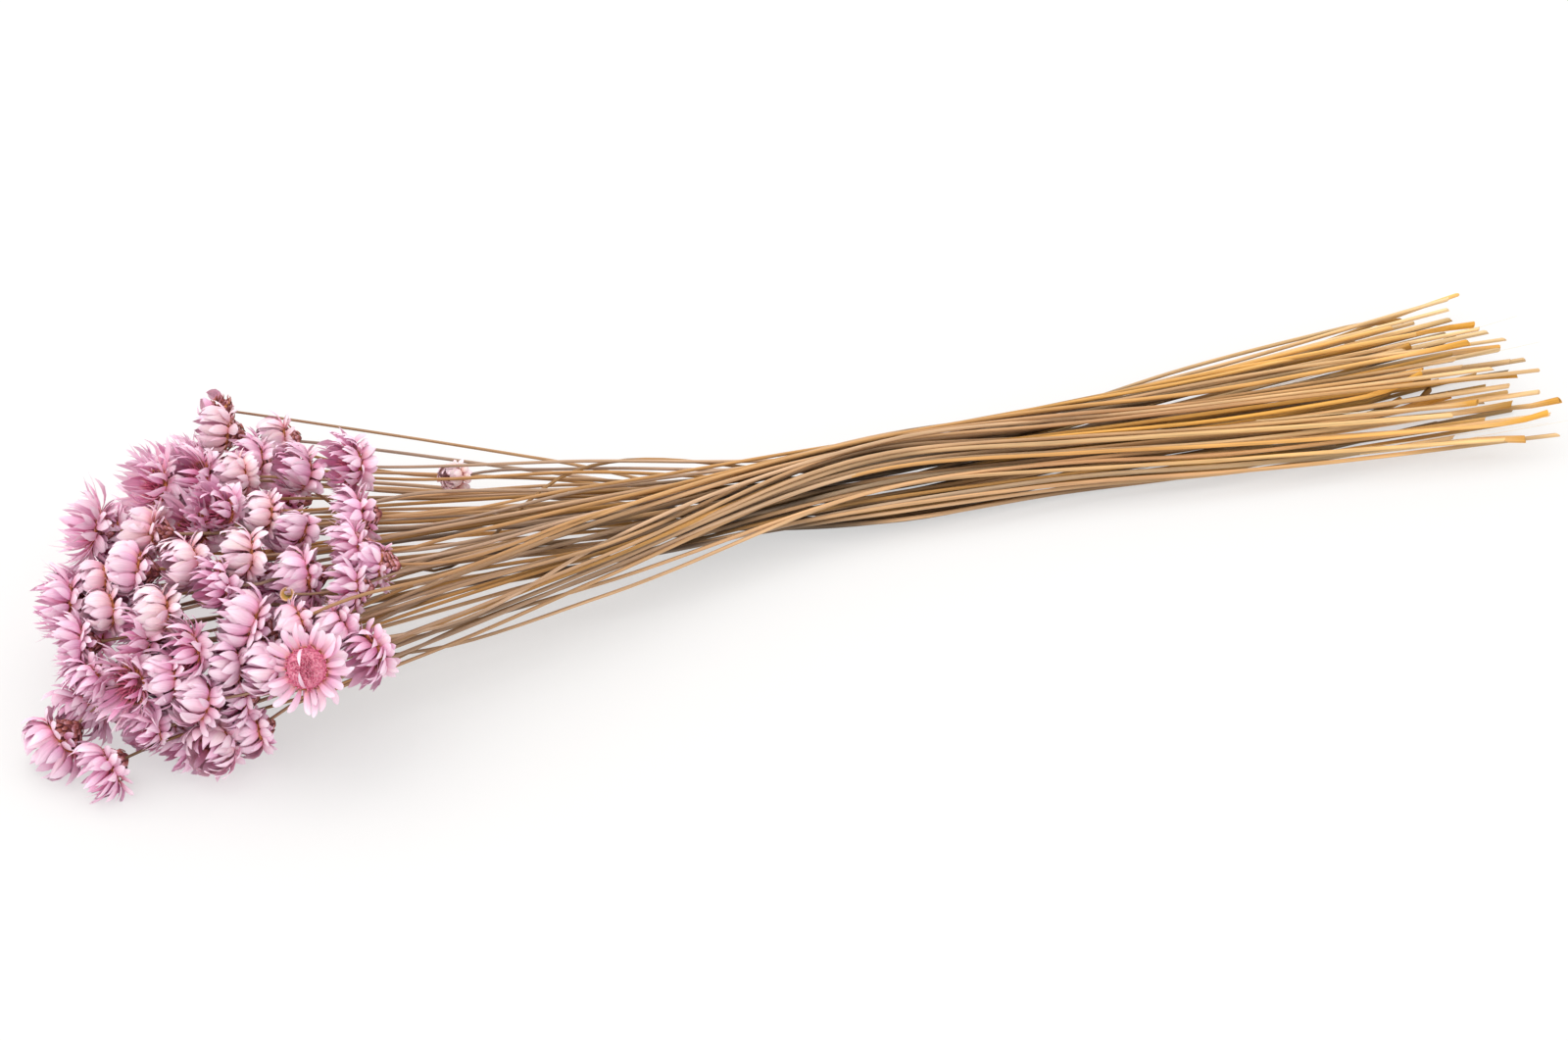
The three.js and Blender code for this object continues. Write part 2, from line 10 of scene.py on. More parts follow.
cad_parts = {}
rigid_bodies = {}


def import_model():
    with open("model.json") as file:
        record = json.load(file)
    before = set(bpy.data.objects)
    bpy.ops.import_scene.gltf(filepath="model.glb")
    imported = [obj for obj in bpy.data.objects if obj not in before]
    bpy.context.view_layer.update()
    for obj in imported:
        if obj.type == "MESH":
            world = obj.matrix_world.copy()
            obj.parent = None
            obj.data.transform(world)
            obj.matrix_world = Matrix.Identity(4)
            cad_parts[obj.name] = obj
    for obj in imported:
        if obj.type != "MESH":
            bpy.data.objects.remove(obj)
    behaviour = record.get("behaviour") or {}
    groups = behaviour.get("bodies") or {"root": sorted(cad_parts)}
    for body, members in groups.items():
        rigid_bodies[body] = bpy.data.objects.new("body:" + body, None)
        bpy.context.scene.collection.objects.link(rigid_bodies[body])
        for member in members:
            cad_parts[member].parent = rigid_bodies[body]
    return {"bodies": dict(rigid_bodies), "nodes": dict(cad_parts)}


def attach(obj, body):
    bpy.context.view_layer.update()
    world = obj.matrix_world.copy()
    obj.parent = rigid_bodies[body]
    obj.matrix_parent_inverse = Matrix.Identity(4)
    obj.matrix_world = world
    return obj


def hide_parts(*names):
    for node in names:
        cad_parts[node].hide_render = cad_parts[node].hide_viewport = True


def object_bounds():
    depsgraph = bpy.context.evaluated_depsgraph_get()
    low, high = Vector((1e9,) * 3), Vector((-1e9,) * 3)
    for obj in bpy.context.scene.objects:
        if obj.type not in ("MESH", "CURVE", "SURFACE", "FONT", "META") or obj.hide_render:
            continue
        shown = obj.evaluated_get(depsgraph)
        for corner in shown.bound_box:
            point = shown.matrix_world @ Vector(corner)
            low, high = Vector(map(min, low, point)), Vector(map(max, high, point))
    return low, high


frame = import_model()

CAD_BOX = [list(corner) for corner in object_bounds()]

MM = 0.001
# The middle of the bunch in the frame that the heads were read in, which is the part's origin.
BOX_MIDDLE = np.array([-4.72, 10.66, 0.0])

# The eye that the heads were read from: its turn and dip in degrees, its distance and aim in mm.
EYE_TURN = 18
EYE_DIP = 38
EYE_DISTANCE = 1000
EYE_AIM = np.array([-12.4, 1.6, 6.0])
# The width that the frame takes in at the aim, and the sensor's width, mm.
FRAME_WIDTH_MM = 467.2
SENSOR = 36

# The heads lie on a heap that is half an ellipsoid.
HEAP_MIDDLE = np.array([-160.0, 6.0, 0.0])
HEAP_RADII = np.array([80.0, 70.0, 50.0])

# Heads on the heap: mm across and up in the eye's view, mm sunk below the heap's skin, degrees
# that it turns down from pointing to -X and towards the eye, and its form.
ON_HEAP = [
    (-162, 13, 6, 0, 0, "cup"), (-174, 12, 5, 0, 15, "star"), (-157, 16, 20, -5, 0, "flare"),
    (-187, 10, 0, -15, 10, "star"), (-182, 14, 10, -45, 0, "star"), (-205, -3, 0, 0, 0, "star"),
    (-198, -5, 13, 0, 10, "flare"), (-187, -4, 0, 0, 0, "cup"), (-168, 2, 4, 0, 20, "flare"),
    (-154, 2, 2, 0, 0, "bud"), (-145, -2, 5, 0, 0, "bold"), (-177, -13, 0, 5, 0, "cup"),
    (-160, -11, 0, 5, 20, "cup"), (-168, -20, 0, 5, 5, "flare"), (-176, -3, 10, 0, 20, "star"),
    (-142, -17, 4, 10, 0, "bold"), (-127, -9, -4, 0, 5, "flare"), (-128, -20, -2, 20, 0, "flare"),
    (-213, -25, 0, 0, 0, "flare"), (-202, -18, 0, 5, 0, "bud"), (-192, -15, 0, 5, 0, "cup"),
    (-201, -27, 0, 0, 0, "bud"), (-209, -37, 0, 10, 0, "flare"), (-190, -36, 3, 0, 15, "star"),
    (-185, -28, 0, 15, 0, "cup"), (-205, -47, 1, 30, 0, "flare"), (-176, -39, 0, 0, 20, "star"),
    (-164, -43, 3, 5, 0, "bold"), (-158, -31, 0, 0, 0, "bold"), (-181, -47, 2, 20, 0, "bold"),
    (-173, -54, 0, 10, 0, "cup"), (-153, -44, -1, 20, 0, "cup"), (-145, -30, -5, 25, 0, "bud"),
    (-133, -32, 0, 20, 0, "bold"), (-142, -44, -10, 0, 80, "daisy"),
    (-154, -33, 13, 10, 0, "flare"), (-139, -31, 10, 15, 0, "flare"),
    (-194, -49, 0, 35, 35, "star"), (-162, -53, 8, 10, 0, "flare"),
    (-184, -59, 10, 20, 0, "flare"), (-194, -22, 19, 0, 0, "flare"),
]

# Heads beside the heap, with their height over the surface in place of a depth.
BESIDE_HEAP = [
    (-168, 33, 24, -8, -20, "bud"), (-166, 26, 24, -15, 0, "cup"), (-149, 24, 24, -5, 5, "cup"),
    (-144, 13, 44, 0, 0, "bold"), (-129, 16, 48, 0, 25, "flare"), (-126, 1, 47, 0, 10, "flare"),
    (-120, -13, 45, 0, 0, "flare"), (-123, -39, 32, 25, 0, "flare"),
    (-207, -55, 12, 65, 0, "flare"), (-215, -65, 8, 45, 0, "bold"), (-201, -73, 7, 25, 0, "flare"),
    (-188, -63, 13, 20, 0, "flare"), (-169, -66, 11, 60, 40, "cup"), (-157, -62, 12, 35, 0, "cup"),
    (-178, -65, 7, 40, 0, "flare"), (-98, 13, 31, 10, 10, "bud"),
]

# Tufts of three pressed heads fill the heap's far side and its underside.
TUFTS = [(-215, 14, 13), (-199, 43, 12), (-176, 64, 13), (-182, 26, 26), (-152, 40, 12),
         (-198, -14, 22), (-170, -14, 26)]
TUFT_RADIUS = 7.2
TUFT_SPREAD = 4
TUFT_ROOT = np.array([-90.0, 8.0, 14.0])
TUFT_FORMS = ("flare", "cup", "star", "bold", "flare")

# The bare stem that has lost its head ends here, read as the heads are.
BARE_END = (-148, -22, 0, 0, 0)

# How far a head's hinge is over its stem's tip, and by form its size and its bracts' reach, mm.
HINGE_HEIGHT = 5.2
SIZES = {"bud": 0.84, "cup": 0.96, "bold": 1.08, "flare": 1.0, "star": 1.04, "daisy": 1.12}
REACHES = {"bud": 6.8, "cup": 7.2, "bold": 7.6, "flare": 7.6, "star": 8.0, "daisy": 8.5}
SIZE_SPREAD = 0.12

# The stems' routes: a twisted hourglass whose rows are the strands, bottom to top. Its half width,
# half height, middle and turn in degrees go straight between their values along X.
# The solid stems are square: half the width of their flats, and half of their diagonal. The
# neck is the straight stretch before a head.
STEM_HALF = 0.6
STEM_REACH = STEM_HALF * math.sqrt(2)
NECK = 4.5
STATIONS = (-185, -155, -120, -75, 20, 75, 125)
STATION_CLEAR = 12
# A stem is cut between the first and the last end, or at the short end for a share of them.
SHORT_SHARE = 0.1
SHORT_END = 160
FIRST_END = 188
LAST_END = 232
SHAPE_X = (-240, -190, -150, -110, -70, -30, 10, 50, 100, 150, 200, 245)
HALF_WIDTH = (70, 66, 52, 37, 25, 18.5, 16.5, 17, 22, 31, 39, 44)
HALF_HEIGHT = (26, 25, 21.5, 17, 13.5, 11.5, 10.8, 10, 9, 8.5, 9, 9)
MIDDLE_Y = (4, 5, 6, 7, 7, 7, 7, 7, 6, 5, 4, 3)
TURN = (75, 69, 61, 46, 13, -29, -40, -30, -18, -10, -5, -3)
SETTLE = 0.88
ROWS = (8, 11, 13, 14, 13, 12, 8)
ROW_PITCH = 0.29
ROW_FILL = 0.96
# A stem strays from its even place by these shares across and down, and its cut end by these mm.
ACROSS_JITTER = 0.04
DOWN_JITTER = 0.1
END_JITTER = 5
# Neighbours in a row are drawn together at these X, and other stems and heads are kept apart,
# in steps along X and in rounds. From LOOSE_FROM on, stems run straight to their necks.
TOUCH_STATIONS = (20, 75)
TOUCH_SPACING = 1.1
LOOSE_FROM = 20
GAP = 0.3
STEM_CLEAR = 2 * STEM_REACH + GAP + 0.08
HEAD_CLEAR = 5.8
STEP = 5
ROUNDS = 160
PUSH = 0.5
LEAST_WEIGHT = 0.25
NO_LENGTH = 1e-6
# What is drawn for a head or a stem. Each draw has its own number, from 1, in draw below.
DRAWS = ("size", "turn", "tuft turn", "tuft spread", "short", "end", "across", "down", "end aside")
WAVE_STEPS = (12.9898, 78.233)
WAVE_SIZE = 43758.5453


def draw(index, what):
    """A repeatable draw between 0 and 1 for each head or stem: the fraction of a large sine."""
    wave = math.sin(index * WAVE_STEPS[0] + (DRAWS.index(what) + 1) * WAVE_STEPS[1]) * WAVE_SIZE
    return wave - math.floor(wave)


def unit(v):
    """A vector, or an array of them, brought to length 1."""
    return v / np.linalg.norm(v, axis=-1, keepdims=True)


def make_eye():
    """The eye's place and the right, upward and forward directions of its view."""
    turn, dip = math.radians(EYE_TURN), math.radians(EYE_DIP)
    right = np.array([math.cos(turn), -math.sin(turn), 0.0])
    forward = np.array([math.sin(turn) * math.cos(dip), math.cos(turn) * math.cos(dip),
                        -math.sin(dip)])
    return EYE_AIM - forward * EYE_DISTANCE, right, np.cross(right, forward), forward


EYE, RIGHT, UPWARD, FORWARD = make_eye()


def sight_line(across, up):
    """The direction from the eye through a place read in its view."""
    return unit(FORWARD * EYE_DISTANCE + RIGHT * across + UPWARD * up)


def on_heap(across, up, sunk):
    """Where a line of sight meets the half ellipsoid of the heap, and goes on by the depth sunk."""
    line = sight_line(across, up)
    start, run = (EYE - HEAP_MIDDLE) / HEAP_RADII, line / HEAP_RADII
    a, b, c = run @ run, start @ run, start @ start - 1
    return EYE + line * ((-b - math.sqrt(max(b * b - a * c, 0))) / a + sunk)


def at_height(across, up, height):
    """Where a line of sight comes down to a height over the surface."""
    line = sight_line(across, up)
    return EYE + line * (height - EYE[2]) / line[2]


def axis_of(turn, toward):
    """A head's axis: pointing left in the view, turned down and then towards the eye."""
    down, near = math.radians(turn), math.radians(toward)
    return (-RIGHT * math.cos(down) * math.cos(near) - UPWARD * math.sin(down) * math.cos(near)
            - FORWARD * math.sin(near))


def place_heads():
    """Every head: its hinge's place, axis, form, size, the tip of its stem and its reach."""
    heads = []

    def add(place, axis, form):
        index = len(heads)
        size = SIZES[form] * (1 + SIZE_SPREAD * (draw(index, "size") - 0.5))
        heads.append({"index": index, "place": place, "axis": axis, "form": form, "size": size,
                      "tip": place - axis * HINGE_HEIGHT * size, "reach": REACHES[form] * size,
                      "turn": 2 * math.pi * draw(index, "turn")})

    for across, up, sunk, turn, toward, form in ON_HEAP:
        add(on_heap(across, up, sunk), axis_of(turn, toward), form)
    for across, up, height, turn, toward, form in BESIDE_HEAP:
        add(at_height(across, up, height), axis_of(turn, toward), form)
    for middle in np.array(TUFTS, float):
        axis = unit(middle - TUFT_ROOT)
        side = unit(np.cross(axis, [0, 0, 1]))
        over = np.cross(side, axis)
        turn = 2 * math.pi * draw(len(heads), "tuft turn")
        for k in range(3):
            angle = turn + 2 * math.pi * k / 3
            along = TUFT_SPREAD * (draw(len(heads), "tuft spread") - 0.5)
            place = (middle + TUFT_RADIUS * (side * math.cos(angle) + over * math.sin(angle))
                     + axis * along)
            add(place, axis, TUFT_FORMS[len(heads) % len(TUFT_FORMS)])
    return heads


def shape_at(x):
    """The bunch's twist, half width, half height and middle at x, straight between its stations."""
    angle = np.radians(np.interp(x, SHAPE_X, TURN))
    return (angle, np.interp(x, SHAPE_X, HALF_WIDTH), np.interp(x, SHAPE_X, HALF_HEIGHT),
            np.interp(x, SHAPE_X, MIDDLE_Y))


def slot_place(x, u, v):
    """A place across the bunch at x from a slot (u, v) of a unit disc, turned by the twist."""
    angle, wide, tall, middle = shape_at(x)
    return (middle + wide * (u * np.cos(angle) - v * np.sin(angle)),
            tall * (u * np.sin(angle) + v * np.cos(angle)) + tall * SETTLE + STEM_HALF)


def slot_of(point):
    """The slot that a place in the bunch would have, the other way round."""
    angle, wide, tall, middle = shape_at(point[0])
    y, z = (point[1] - middle) / wide, (point[2] - STEM_HALF - tall * SETTLE) / tall
    return y * math.cos(angle) + z * math.sin(angle), z * math.cos(angle) - y * math.sin(angle)


def make_stems(heads):
    """Each stem starts at its head and takes a slot: sorted by height into rows, then across."""
    stems = [{"head": h["index"], "start": h["tip"], "axis": h["axis"]} for h in heads]
    stems.append({"head": -1, "start": on_heap(*BARE_END[:3]), "axis": axis_of(*BARE_END[3:])})
    for index, stem in enumerate(stems):
        stem["index"] = index
        stem["neck"] = stem["start"] - stem["axis"] * NECK
        stem["wish"] = slot_of(stem["neck"])
    by_height = sorted(stems, key=lambda stem: stem["wish"][1])
    taken = 0
    for row, count in enumerate(ROWS):
        members = sorted(by_height[taken:taken + count], key=lambda stem: stem["wish"][0])
        taken += count
        v = (row - (len(ROWS) - 1) / 2) * ROW_PITCH
        half = math.sqrt(1 - v * v) * ROW_FILL
        for place, stem in enumerate(members):
            stem["row"], stem["place"] = row, place
            stem["slot"] = (half * (2 * (place + 0.5) / count - 1)
                            + ACROSS_JITTER * (2 * draw(stem["index"], "across") - 1),
                            v + DOWN_JITTER * (2 * draw(stem["index"], "down") - 1))
            stem["points"] = route(stem)
    return stems


def route(stem):
    """A stem's first route: its start and neck, then straight to where its slot's line leaves
    the waist, and along that line to its cut end."""
    pick, slot, neck = draw(stem["index"], "short"), stem["slot"], stem["neck"]
    end = FIRST_END + (LAST_END - FIRST_END) * draw(stem["index"], "end")
    end = SHORT_END + pick / SHORT_SHARE if pick < SHORT_SHARE else end
    passed = [s for s in STATIONS if neck[0] + STATION_CLEAR <= s <= end - STATION_CLEAR]
    x = np.array(passed + [end], float)
    t = np.clip((LOOSE_FROM - x) / (LOOSE_FROM - neck[0]), 0, 1)
    there = slot_place(np.maximum(x, LOOSE_FROM), *slot)
    y, z = (there[k] + (neck[k + 1] - there[k]) * t for k in (0, 1))
    y[-1] += END_JITTER * (2 * draw(stem["index"], "end aside") - 1)
    return np.vstack([stem["start"], neck, np.stack([x, y, z], 1)])


def spread_stems(stems, heads):
    """Relaxes the stems sideways in rounds: at every sample place, stems of different strands
    push each other apart, touching neighbours are drawn together and heads push stems away. A
    push is shared to the two points that the place lies between. Starts and necks don't move."""
    points = np.vstack([stem["points"] for stem in stems])
    starts = np.cumsum([0] + [len(stem["points"]) for stem in stems[:-1]])
    places = np.array(list(TOUCH_STATIONS) + list(range(STATIONS[0], LAST_END + 1, STEP)), float)
    fixed = np.concatenate([starts, starts + 1])
    count = len(stems)
    before = np.zeros((len(places), count), int)
    share = np.zeros((len(places), count))
    there = np.zeros((len(places), count), bool)
    for i, stem in enumerate(stems):
        xs = stem["points"][:, 0]
        k = np.clip(np.searchsorted(xs, places, side="left") - 1, 0, len(xs) - 2)
        before[:, i] = starts[i] + k
        share[:, i] = (places - xs[k]) / (xs[k + 1] - xs[k])
        there[:, i] = (places >= xs[0]) & (places <= xs[-1])
    weight = np.maximum(share ** 2 + (1 - share) ** 2, LEAST_WEIGHT)
    row = np.array([stem["row"] for stem in stems])
    place = np.array([stem["place"] for stem in stems])
    pair = there[:, :, None] & there[:, None, :] & ~np.eye(count, dtype=bool)
    step_apart = (row[:, None] == row[None, :]) & (abs(place[:, None] - place[None, :]) == 1)
    lower = np.minimum(place[:, None], place[None, :]) % 2
    touch = np.array([pair[p] & step_apart & (x in TOUCH_STATIONS)
                      & (lower == (TOUCH_STATIONS.index(x) if x in TOUCH_STATIONS else 0))
                      for p, x in enumerate(places)])
    apart = pair & (row[:, None] != row[None, :])
    want = np.where(touch, TOUCH_SPACING, STEM_CLEAR)
    hubs = np.array([head["place"] for head in heads])
    aside = HEAD_CLEAR ** 2 - (hubs[None, :, 0] - places[:, None]) ** 2
    at_p, at_h = np.nonzero(aside > 0)
    near_p, near_h = np.repeat(at_p, count), np.repeat(at_h, count)
    near_i = np.tile(np.arange(count), len(at_p))
    keep = there[near_p, near_i] & (near_h != near_i)
    near_p, near_h, near_i = near_p[keep], near_h[keep], near_i[keep]
    clear = np.sqrt(aside[near_p, near_h])
    for _ in range(ROUNDS):
        y, z = (points[before, axis] * (1 - share) + points[before + 1, axis] * share
                for axis in (1, 2))
        dy, dz = y[:, None, :] - y[:, :, None], z[:, None, :] - z[:, :, None]
        far = np.maximum(np.sqrt(dy * dy + dz * dz), NO_LENGTH)
        move = np.where(touch | (apart & (far < STEM_CLEAR)), PUSH * (want - far) / far, 0)
        push_y, push_z = -(dy * move).sum(2), -(dz * move).sum(2)
        hy = y[near_p, near_i] - hubs[near_h, 1]
        hz = z[near_p, near_i] - hubs[near_h, 2]
        off = np.maximum(np.hypot(hy, hz), NO_LENGTH)
        shove = np.where(off < clear, PUSH * (clear - off) / off, 0)
        np.add.at(push_y, (near_p, near_i), hy * shove)
        np.add.at(push_z, (near_p, near_i), hz * shove)
        moves = np.zeros_like(points)
        for axis, push in ((1, push_y), (2, push_z)):
            push = np.where(there, push, 0) / weight
            moves[:, axis] += np.bincount(before.ravel(), (push * (1 - share)).ravel(), len(points))
            moves[:, axis] += np.bincount(before.ravel() + 1, (push * share).ravel(), len(points))
        held = points[fixed]
        points[:, 1] += PUSH * moves[:, 1]
        points[:, 2] = np.maximum(points[:, 2] + PUSH * moves[:, 2], STEM_HALF)
        points[fixed] = held
    for stem, first in zip(stems, starts):
        stem["points"] = points[first:first + len(stem["points"])]


HEADS = place_heads()
STEMS = make_stems(HEADS)
spread_stems(STEMS, HEADS)


# The layers of a head, foot to tip. A layer is: how many bracts, the radius of their feet and
# their height over the hinge, their length and width in mm, the lean of foot and tip from the
# head's axis in degrees, how far those stray, how cream and how deep pink they are, how blunt
# their tips are and the share that is left. Past 90 degrees they are bent back over the cone.
BACK_RINGS = (
    (14, 4.7, -0.1, 4.6, 3.0, 96, 142, 13, 0.35, 0.0, 2.8, 0.88),
    (12, 4.4, -0.5, 4.3, 2.6, 108, 152, 13, 0.2, 0.1, 2.8, 0.76),
    (11, 3.9, -1.2, 3.2, 2.0, 124, 165, 12, 0.0, 0.35, 2.2, 0.6),
)
FRONT_LAYERS = {
    "bud": (
        (12, 4.6, 0.0, 8.4, 4.0, 62, -68, 9, 0.3, 0.1, 1.8, 1.0),
        (11, 4.2, 0.3, 8.5, 3.8, 52, -76, 9, 0.35, 0.05, 1.8, 1.0),
        (9, 3.0, 0.8, 7.6, 2.8, 36, -62, 12, 0.1, 0.4, 1.6, 1.0),
    ),
    "cup": (
        (13, 4.8, -0.1, 6.6, 2.6, 74, -4, 16, 0.1, 0.1, 1.7, 0.8),
        (13, 4.6, 0.0, 8.8, 3.5, 68, -52, 11, 0.3, 0.0, 1.7, 1.0),
        (12, 4.3, 0.3, 9.2, 3.4, 56, -62, 11, 0.35, 0.05, 1.7, 1.0),
        (11, 3.2, 0.9, 8.4, 2.4, 38, -48, 14, 0.0, 0.45, 1.5, 1.0),
    ),
    "bold": (
        (15, 4.8, -0.1, 7.6, 2.8, 76, -18, 14, 0.15, 0.0, 1.8, 0.9),
        (14, 4.6, 0.1, 8.6, 2.9, 66, -42, 12, 0.25, 0.05, 1.6, 1.0),
        (13, 4.2, 0.5, 8.8, 2.5, 54, -46, 14, 0.1, 0.2, 1.5, 1.0),
        (10, 2.8, 1.0, 8.0, 1.9, 34, -34, 18, 0.0, 0.6, 1.4, 1.0),
    ),
    "flare": (
        (16, 4.8, -0.1, 7.2, 2.5, 86, 8, 16, 0.1, 0.0, 1.7, 0.9),
        (15, 4.6, 0.1, 8.0, 2.5, 72, -8, 16, 0.1, 0.1, 1.6, 1.0),
        (14, 4.1, 0.4, 8.2, 2.2, 58, -24, 18, 0.0, 0.25, 1.5, 1.0),
        (12, 3.2, 0.8, 7.4, 1.7, 38, -20, 18, 0.0, 0.6, 1.4, 1.0),
        (7, 3.6, 0.6, 9.0, 0.6, 48, 8, 18, 0.2, 0.0, 1.2, 1.0),
    ),
    "star": (
        (17, 4.7, -0.1, 8.0, 2.2, 90, 34, 20, 0.2, 0.0, 1.7, 0.9),
        (16, 4.5, 0.1, 8.8, 2.1, 76, 16, 22, 0.2, 0.05, 1.6, 1.0),
        (13, 4.0, 0.5, 8.4, 1.8, 58, 2, 24, 0.05, 0.25, 1.5, 1.0),
        (11, 3.2, 0.8, 7.6, 1.4, 38, -8, 24, 0.0, 0.6, 1.4, 1.0),
        (12, 3.8, 0.5, 10.0, 0.6, 60, 24, 24, 0.4, 0.0, 1.3, 1.0),
    ),
    "daisy": (
        (21, 4.9, 0.3, 5.9, 1.75, 92, 78, 14, 0.25, -0.3, 6.0, 0.9),
        (14, 4.6, 0.7, 5.0, 1.6, 78, 60, 20, 0.3, -0.3, 6.0, 0.75),
        (2, 4.4, 1.6, 6.4, 0.9, 8, -96, 8, 0.3, 0.0, 2.0, 1.0),
    ),
}
# The florets at the heart of an open head: how many, their field's radius, height and length.
FLORETS = {"flare": (34, 2.6, 0.9, 2.8), "star": (40, 2.8, 0.9, 2.8),
           "daisy": (230, 4.5, 1.3, 1.6)}
FLORET_WIDTH, FLORET_FOOT, FLORET_DEEP, FLORET_BLUNT = 0.55, 0.8, 0.9, 1.3
# The florets at the field's rim lean out by these degrees, their tips by a few more, and all stray.
FLORET_LEAN, FLORET_CURVE, FLORET_STRAY = 34, 8, 10
# A floret's turn and its height stray by this.
FLORET_OFF = 0.2
# The field sinks towards its rim by this times the radius squared.
FIELD_FALL = 0.06
# The daisy's disc under its florets: radius, and height over the hinge.
DISC = ((0, 0.3), (4.2, 0.3), (4.6, 0.6), (4.3, 1.1), (3.2, 1.5), (0, 1.7))
# The rings of small scales on the cone: how many, and the radius and height of their feet.
SCALE_RINGS = ((7, 1.0, -5.0), (9, 1.7, -4.3), (11, 2.4, -3.5), (12, 3.0, -2.7), (13, 3.4, -1.9),
               (13, 3.8, -1.2))
# One head has shed most of its bracts, and scales cover its dome too.
SEED_HEAD = 42
# It points up, to show its scales: this is added to its axis.
SEED_NOD = np.array([0.1, -0.2, 0.9])
SEED_RINGS = ((13, 4.0, -0.4), (12, 3.7, 0.5), (10, 3.2, 1.4), (8, 2.4, 2.2), (5, 1.4, 2.8))
SCALE_LENGTH, SCALE_WIDTH = 2.0, 1.3
SCALE_LEAN, SCALE_TIP_LEAN, SCALE_STRAY = 56, 34, 10
SCALE_DEEP, SCALE_BLUNT = 0.3, 2.0
# The shares of back and front bracts that some heads have kept, by their number.
WORN = {14: (0.7, 1), 42: (0, 0.04), 43: (0.35, 1), 44: (0.45, 1), 48: (0.7, 1), 50: (0.6, 1),
        51: (0.6, 1), 52: (0.45, 1)}
# The head among the stems is young: it is pale, and drawn at this share of its size.
SMALL_HEAD, SMALL_SHARE = 57, 0.7
# A head nods this far off its stem's line, in all directions, and this much towards the eye.
NOD, NOD_NEAR = 0.36, 0.3
# A head is dressed this many times larger than its layers' measures.
BLOOM = 1.07
# Painted shade on the heads: a place is inside the heap, and painted darker, by what lies over it
# towards the light within these mm.
COVER_REACH = 34
LIGHT_WAY = np.array([-0.16, -0.36, 0.92])
COVER_ASIDE, COVER_ABOVE, COVER_FAR, COVER_FULL = 5.5, 2.0, 16.0, 1.1
# Tufts are deeper pink.
TUFT_TONE = (-0.1, 0.3)

# Sections of a bract: rows from foot to tip, and columns out over its back and home over its face.
BRACT_ROWS = (0, 0.2, 0.42, 0.64, 0.83, 0.95)
BRACT_COLUMNS = (-1, -0.5, 0, 0.5, 1, 0.5, 0, -0.5)
SMALL_ROWS = (0, 0.45, 0.82)
SMALL_COLUMNS = (-1, 0, 1, 0)
BRACT_THICK, SCALE_THICK, FLORET_THICK = 0.14, 0.3, 0.5
# Bracts narrower than this, the fifth value of a layer, have a plain section.
NARROW, WIDTH_AT = 1.4, 4
# The share of its width that a bract has at its foot, where along it it is widest, how far it
# bends across towards the axis, and its tilt over its neighbour in radians.
BRACT_FOOT, BRACT_PEAK, BRACT_CURL, BRACT_TILE = 0.45, 0.56, 0.17, 0.14
# How far a bract strays both ways from its layer: its turn as a share of the spacing, its length
# and width as shares, angles in radians and the rest as they are.
STRAY = {"tint": 0.15, "turn": 0.3, "radius": 0.3, "height": 0.4, "length": 0.18, "width": 0.18,
         "peak": 0.1, "blunt": 0.25, "curl": 0.1, "tile": 0.1, "twist": 0.4, "swing": 0.2,
         "ruffle": 0.14}
RUFFLE_WAVES = 1.3
# A lean past this many degrees is bent back, and an arc bends by this many radians at least.
BENT_BACK, LEAST_BEND = 90, 1e-3
# How far heads reach past the part's box before they are pressed, and the shares of its reach
# that a bract keeps past the box, another head and another head's stem.
BOX_MARGIN = 0.6
SOFT_BOX, SOFT_HEADS, SOFT_STEMS = 0.25, 0.8, 0.3
# Hubs and stems within these mm press a head, and the mm kept free over the floor and at a stem.
NEAR_HEADS, NEAR_STEMS = 24, 13
FLOOR_FREE, STEM_FREE = 0.15, 0.9
HEAD_SEED = 900


def linear(code):
    """An sRGB hex colour as linear red, green, blue and alpha."""
    parts = [int(code[i:i + 2], 16) / 255 for i in (1, 3, 5)]
    return tuple(p / 12.92 if p <= 0.04045 else ((p + 0.055) / 1.055) ** 2.4 for p in parts) + (1,)


def tube_faces(count, rows, columns):
    """Quads between the rows of every one of count closed tubes, with a fan of triangles at each
    end. A tube's points are its rows in turn, then its foot's and its tip's middle."""
    base = np.arange(count)[:, None] * (rows * columns + 2)
    k = np.arange(columns)
    after = (k + 1) % columns
    r = np.arange(rows - 1)[:, None] * columns
    quads = np.stack([r + k, r + after, r + columns + after, r + columns + k], -1).reshape(1, -1, 4)
    last, foot, tip = (rows - 1) * columns, rows * columns, rows * columns + 1
    fans = np.concatenate([np.stack([after, k, np.full(columns, foot)], -1),
                           np.stack([last + k, last + after, np.full(columns, tip)], -1)])
    return tuple((faces + base[:, :, None]).reshape(-1, faces.shape[-1])
                 for faces in (quads, fans[None]))


